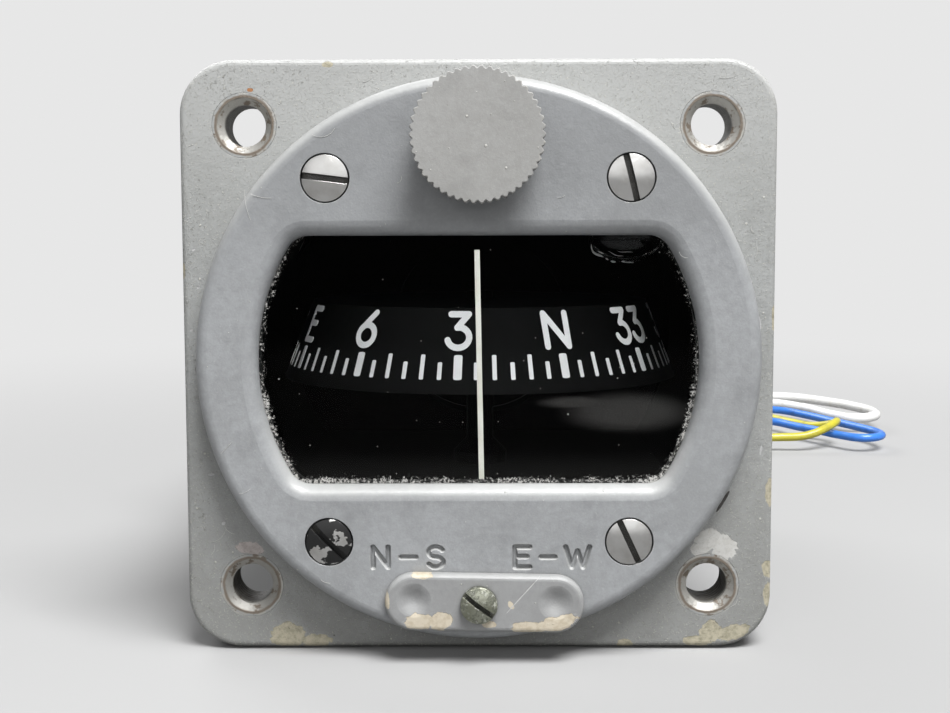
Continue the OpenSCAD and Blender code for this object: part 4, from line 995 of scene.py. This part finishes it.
def engraved_bezel():
    bm = bmesh.new()
    for sign, at, wide in LETTERS:
        add_sign(bm, sign, on_bezel, at, LETTER_LOW, wide, LETTER_H, CUTTER_TOP, LETTER_DEPTH,
                 -LETTER_DEPTH, CUTTER_FOOT)
    cutter = link(bpy.data.objects.new("letter_cutter", mesh_from(bm, "letter_cutter")))
    blank = mesh_from(welded(nodes["bezel"].data), "bezel_blank")
    body = link(bpy.data.objects.new("bezel_blank", blank))
    cut = body.modifiers.new("letters", "BOOLEAN")
    cut.operation = "DIFFERENCE"
    cut.solver = "EXACT"
    cut.use_self = True
    cut.object = cutter
    bpy.context.view_layer.update()
    evaluated = body.evaluated_get(bpy.context.evaluated_depsgraph_get())
    made = bpy.data.meshes.new_from_object(evaluated)
    for scrap in (body, cutter):
        bpy.data.objects.remove(scrap)
    made.materials.clear()
    return made


def keep_flat(mesh, facing):
    """Leaves a sharp edge all round the faces that look one way."""
    bm = bmesh.new()
    bm.from_mesh(mesh)
    for edge in bm.edges:
        if len({face.normal.dot(facing) > FLAT for face in edge.link_faces}) == 2:
            edge.smooth = False
    bm.to_mesh(mesh)
    bm.free()


bezel = piece("bezel_engraved", engraved_bezel(), "case", finishes["bezel_paint"])
smooth(bezel.data)
keep_flat(bezel.data, Vector((0, -1, 0)))
bezel.modifiers.new("even_shading", "WEIGHTED_NORMAL").keep_sharp = True
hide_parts("bezel")


# Lint on the painted faces, and the air bubble at the top of the bowl with painted glints on it

LINT_R = 0.018
LINT_STEPS = 8
LINT_LIFT = 1.4 * LINT_R
# The fibres on each face: x and z of the middle, length, lean and bend in degrees
LINT = {
    BEZEL_FACE: [
        (-22.85, 15.55, 3.0, -80, 25), (-21.4, 16.3, 2.1, -12, 30), (-15.0, 22.2, 2.6, 15, 100),
        (-25.2, -8.6, 1.7, 47, 10), (-23.4, -13.1, 1.3, 22, 60), (20.1, 10.4, 1.1, -35, 80),
        (-7.6, 17.9, 0.9, 60, 90), (8.2, 16.2, 0.8, 20, 60), (-15.5, -22.3, 1.0, -20, 50)],
    FLANGE_FACE: [
        (27.6, 12.9, 0.9, -60, 120), (19.5, 23.5, 1.1, -60, 40), (28.2, 10.7, 1.3, 82, 30),
        (-27.0, -18.8, 2.2, 30, 70), (-25.9, -17.9, 1.4, -40, 60), (-27.4, -19.9, 1.2, 70, 60),
        (25.0, 28.1, 1.6, 5, 50), (-11.0, 28.0, 1.2, 30, 70), (26.5, -25.6, 1.1, 50, 80)],
}


def fibre_points(face, x, z, length, lean, bend):
    """A short arc through its middle point, lying on a face."""
    start = math.radians(lean - bend / 2)
    step = length / LINT_STEPS
    u, v = 0.0, 0.0
    path = [(u, v)]
    for i in range(LINT_STEPS):
        angle = start + math.radians(bend) * (i + 0.5) / LINT_STEPS
        u += step * math.cos(angle)
        v += step * math.sin(angle)
        path.append((u, v))
    mid_x, mid_z = path[LINT_STEPS // 2]
    return [Vector((x + u - mid_x, face - LINT_LIFT, z + v - mid_z)) * MM for u, v in path]


def lint():
    data = curve("lint", LINT_R, 1)
    for face, fibres in LINT.items():
        for fibre in fibres:
            add_run(data, fibre_points(face, *fibre))
    return data


piece("lint", lint(), "case", lint_fluff)


BUBBLE_AT = (15.4, 4.7, 12.0)
BUBBLE_R = (4.0, 1.8, 2.4)
# Painted glints along the bubble's lower rim: start and end in degrees, share of its radius, thickness
PAINTED_GLINTS = [
    (192, 214, 0.97, 0.07), (210, 232, 1.0, 0.13), (214, 226, 0.88, 0.06), (236, 243, 0.99, 0.08),
    (247, 255, 1.0, 0.1), (262, 268, 0.98, 0.07), (266, 282, 1.03, 0.05), (225, 262, 0.72, 0.03),
    (240, 285, 0.55, 0.025),
]
GLINT_STEPS = 10
# Height of a glint's ripples as a share of its radius, and their number to a radian
RIPPLE = 0.03
RIPPLES = 9


def air_bubble():
    bm = bmesh.new()
    bmesh.ops.create_uvsphere(bm, u_segments=48, v_segments=24, radius=MM)
    bmesh.ops.scale(bm, vec=BUBBLE_R, verts=bm.verts)
    bmesh.ops.translate(bm, vec=Vector(BUBBLE_AT) * MM, verts=bm.verts)
    mesh = mesh_from(bm, "air_bubble")
    smooth(mesh, 60)
    return mesh


def bubble_painted_glints():
    """Painted highlights: pale slivers on the front of the bubble's rim that stand in for glints of light."""
    data = curve("bubble_painted_glints", 1.0, 2)
    for start, end, share, thick in PAINTED_GLINTS:
        points, radii = [], []
        for i in range(GLINT_STEPS + 1):
            angle = math.radians(start + (end - start) * i / GLINT_STEPS)
            reach = share * (1 + RIPPLE * math.sin(RIPPLES * angle))
            forward = math.sqrt(max(0.0, 1 - min(reach, 1) ** 2))
            away = (reach * math.cos(angle), -forward, reach * math.sin(angle))
            points.append([MM * (c + r * u) for c, r, u in zip(BUBBLE_AT, BUBBLE_R, away)])
            radii.append(thick * math.sin(math.pi * (i + 0.6) / (GLINT_STEPS + 1.2)))
        add_run(data, points, radii)
    return data


piece("air_bubble", air_bubble(), "case", simple_glass("bubble", grey(1.0)))
# Painted highlights: pale diffuse slivers that stand in for the bubble's glints
piece("bubble_painted_glints", bubble_painted_glints(), "case", plain("painted_glint", grey(0.92), grey(0.85), 0.3))


# Stage: tilted table, backdrop and soft studio light

# Extent of the table and of the curve behind it
TABLE_NEAR = -900
TABLE_BACK = 500
TABLE_HALF = 1600
BEND_R = 250
BEND_STEPS = 12
BACKDROP_TOP = 1400
# Shades of the table as it lights and as it shows, and of the background in view and in mirrors
TABLE_RETURNED = 0.24
TABLE_SEEN = 0.43
BACKGROUND_SEEN = 0.8
BACKGROUND_MIRRORED = 0.42
# Distances between which the table turns into the background
FADE_FROM = 70
FADE_TO = 260
# Level and tint of the light from all sides
AIR_LEVEL = 0.12
AIR_TINT = (0.97, 0.985, 1.0, 1)
# Lamps: place, aim and size in metres, and watts
LAMPS = {
    "overhead": ((0.22, -0.38, 0.8), (0, 0, 0), (0.5, 0.4), 14.2),
    "front_fill": ((0.05, -1.0, 0.36), (0, 0, 0), (1.6, 0.6), 3.4),
    "back_fill": ((-0.4, 0.6, 0.55), (0, 0.03, 0), (0.5, 0.4), 3.0),
}
DIAL_LAMP = ((0.155, -0.6, 0.14), (0, 0, 0), (0.107, 0.2), 2.85)


def backdrop(name):
    """Plain pale table that holds the shadows, and turns into an even pale background further off."""
    p = Paint(name)
    path = p.node("ShaderNodeLightPath").outputs
    shown = p.either(path["Is Camera Ray"], path["Is Transmission Ray"])
    seen = p.either(shown, path["Is Glossy Ray"])
    table = p.mix(shown, grey(TABLE_RETURNED), grey(TABLE_SEEN))
    background = p.mix(path["Is Glossy Ray"], grey(BACKGROUND_SEEN), grey(BACKGROUND_MIRRORED))
    near = p.node("ShaderNodeBsdfDiffuse", {"Color": table}).outputs[0]
    far = p.node("ShaderNodeEmission", {"Color": background}).outputs[0]
    share = p.times(seen, p.band(p.vector("LENGTH", p.mm), FADE_FROM, FADE_TO))
    return p.finish(p.blend(share, near, far))


def sweep():
    """Pale table that follows the tilt of the part and curves up into a backdrop."""
    profile = [(TABLE_NEAR, FLOOR_Z + FLOOR_RISE * (TABLE_NEAR - FLOOR_Y))]
    foot = FLOOR_Z + FLOOR_RISE * (TABLE_BACK - FLOOR_Y)
    for i in range(BEND_STEPS + 1):
        angle = math.radians(90 * i / BEND_STEPS)
        profile.append((TABLE_BACK + BEND_R * math.sin(angle), foot + BEND_R * (1 - math.cos(angle))))
    profile.append((TABLE_BACK + BEND_R, BACKDROP_TOP))
    points = [Vector((x, y, z)) * MM for y, z in profile for x in (-TABLE_HALF, TABLE_HALF)]
    faces = [(2 * i, 2 * i + 1, 2 * i + 3, 2 * i + 2) for i in range(len(profile) - 1)]
    mesh = bpy.data.meshes.new("table")
    mesh.from_pydata(points, [], faces)
    mesh.materials.append(backdrop("table_top"))
    smooth(mesh, 60)
    link(bpy.data.objects.new("table", mesh))


def soft_light(name, at, aim, size, watts):
    data = bpy.data.lights.new(name, "AREA")
    data.shape = "RECTANGLE"
    data.size, data.size_y = size
    data.energy = watts
    lamp = link(bpy.data.objects.new(name, data))
    lamp.location = at
    lamp.rotation_euler = (Vector(aim) - Vector(at)).to_track_quat("-Z", "Y").to_euler()
    return lamp


def collection(name, objects):
    made = bpy.data.collections.new(name)
    for obj in objects:
        made.objects.link(obj)
    return made


def dial_light():
    """Light on the dial alone: in the real bowl, glass and liquid bend the overhead light down onto it."""
    lamp = soft_light("dial_light", *DIAL_LAMP)
    lamp.light_linking.receiver_collection = collection("dial", (nodes["lubber_line"], marks))
    lamp.light_linking.blocker_collection = collection("dial_shade", (nodes["case_body"], bezel))


def studio_air():
    """Even light from all sides, at one level as light and at another as the background that is seen."""
    world = bpy.data.worlds.new("studio")
    world.use_nodes = True
    tree = world.node_tree
    camera_ray = tree.nodes.new("ShaderNodeLightPath").outputs["Is Camera Ray"]
    strength = tree.nodes.new("ShaderNodeMix")
    tree.links.new(camera_ray, strength.inputs[0])
    strength.inputs[2].default_value = AIR_LEVEL
    strength.inputs[3].default_value = BACKGROUND_SEEN
    background = tree.nodes["Background"]
    tree.links.new(strength.outputs[0], background.inputs["Strength"])
    background.inputs["Color"].default_value = AIR_TINT
    bpy.context.scene.world = world


sweep()
studio_air()
for name, setting in LAMPS.items():
    soft_light(name, *setting)
dial_light()
bpy.context.scene.view_settings.view_transform = "Standard"
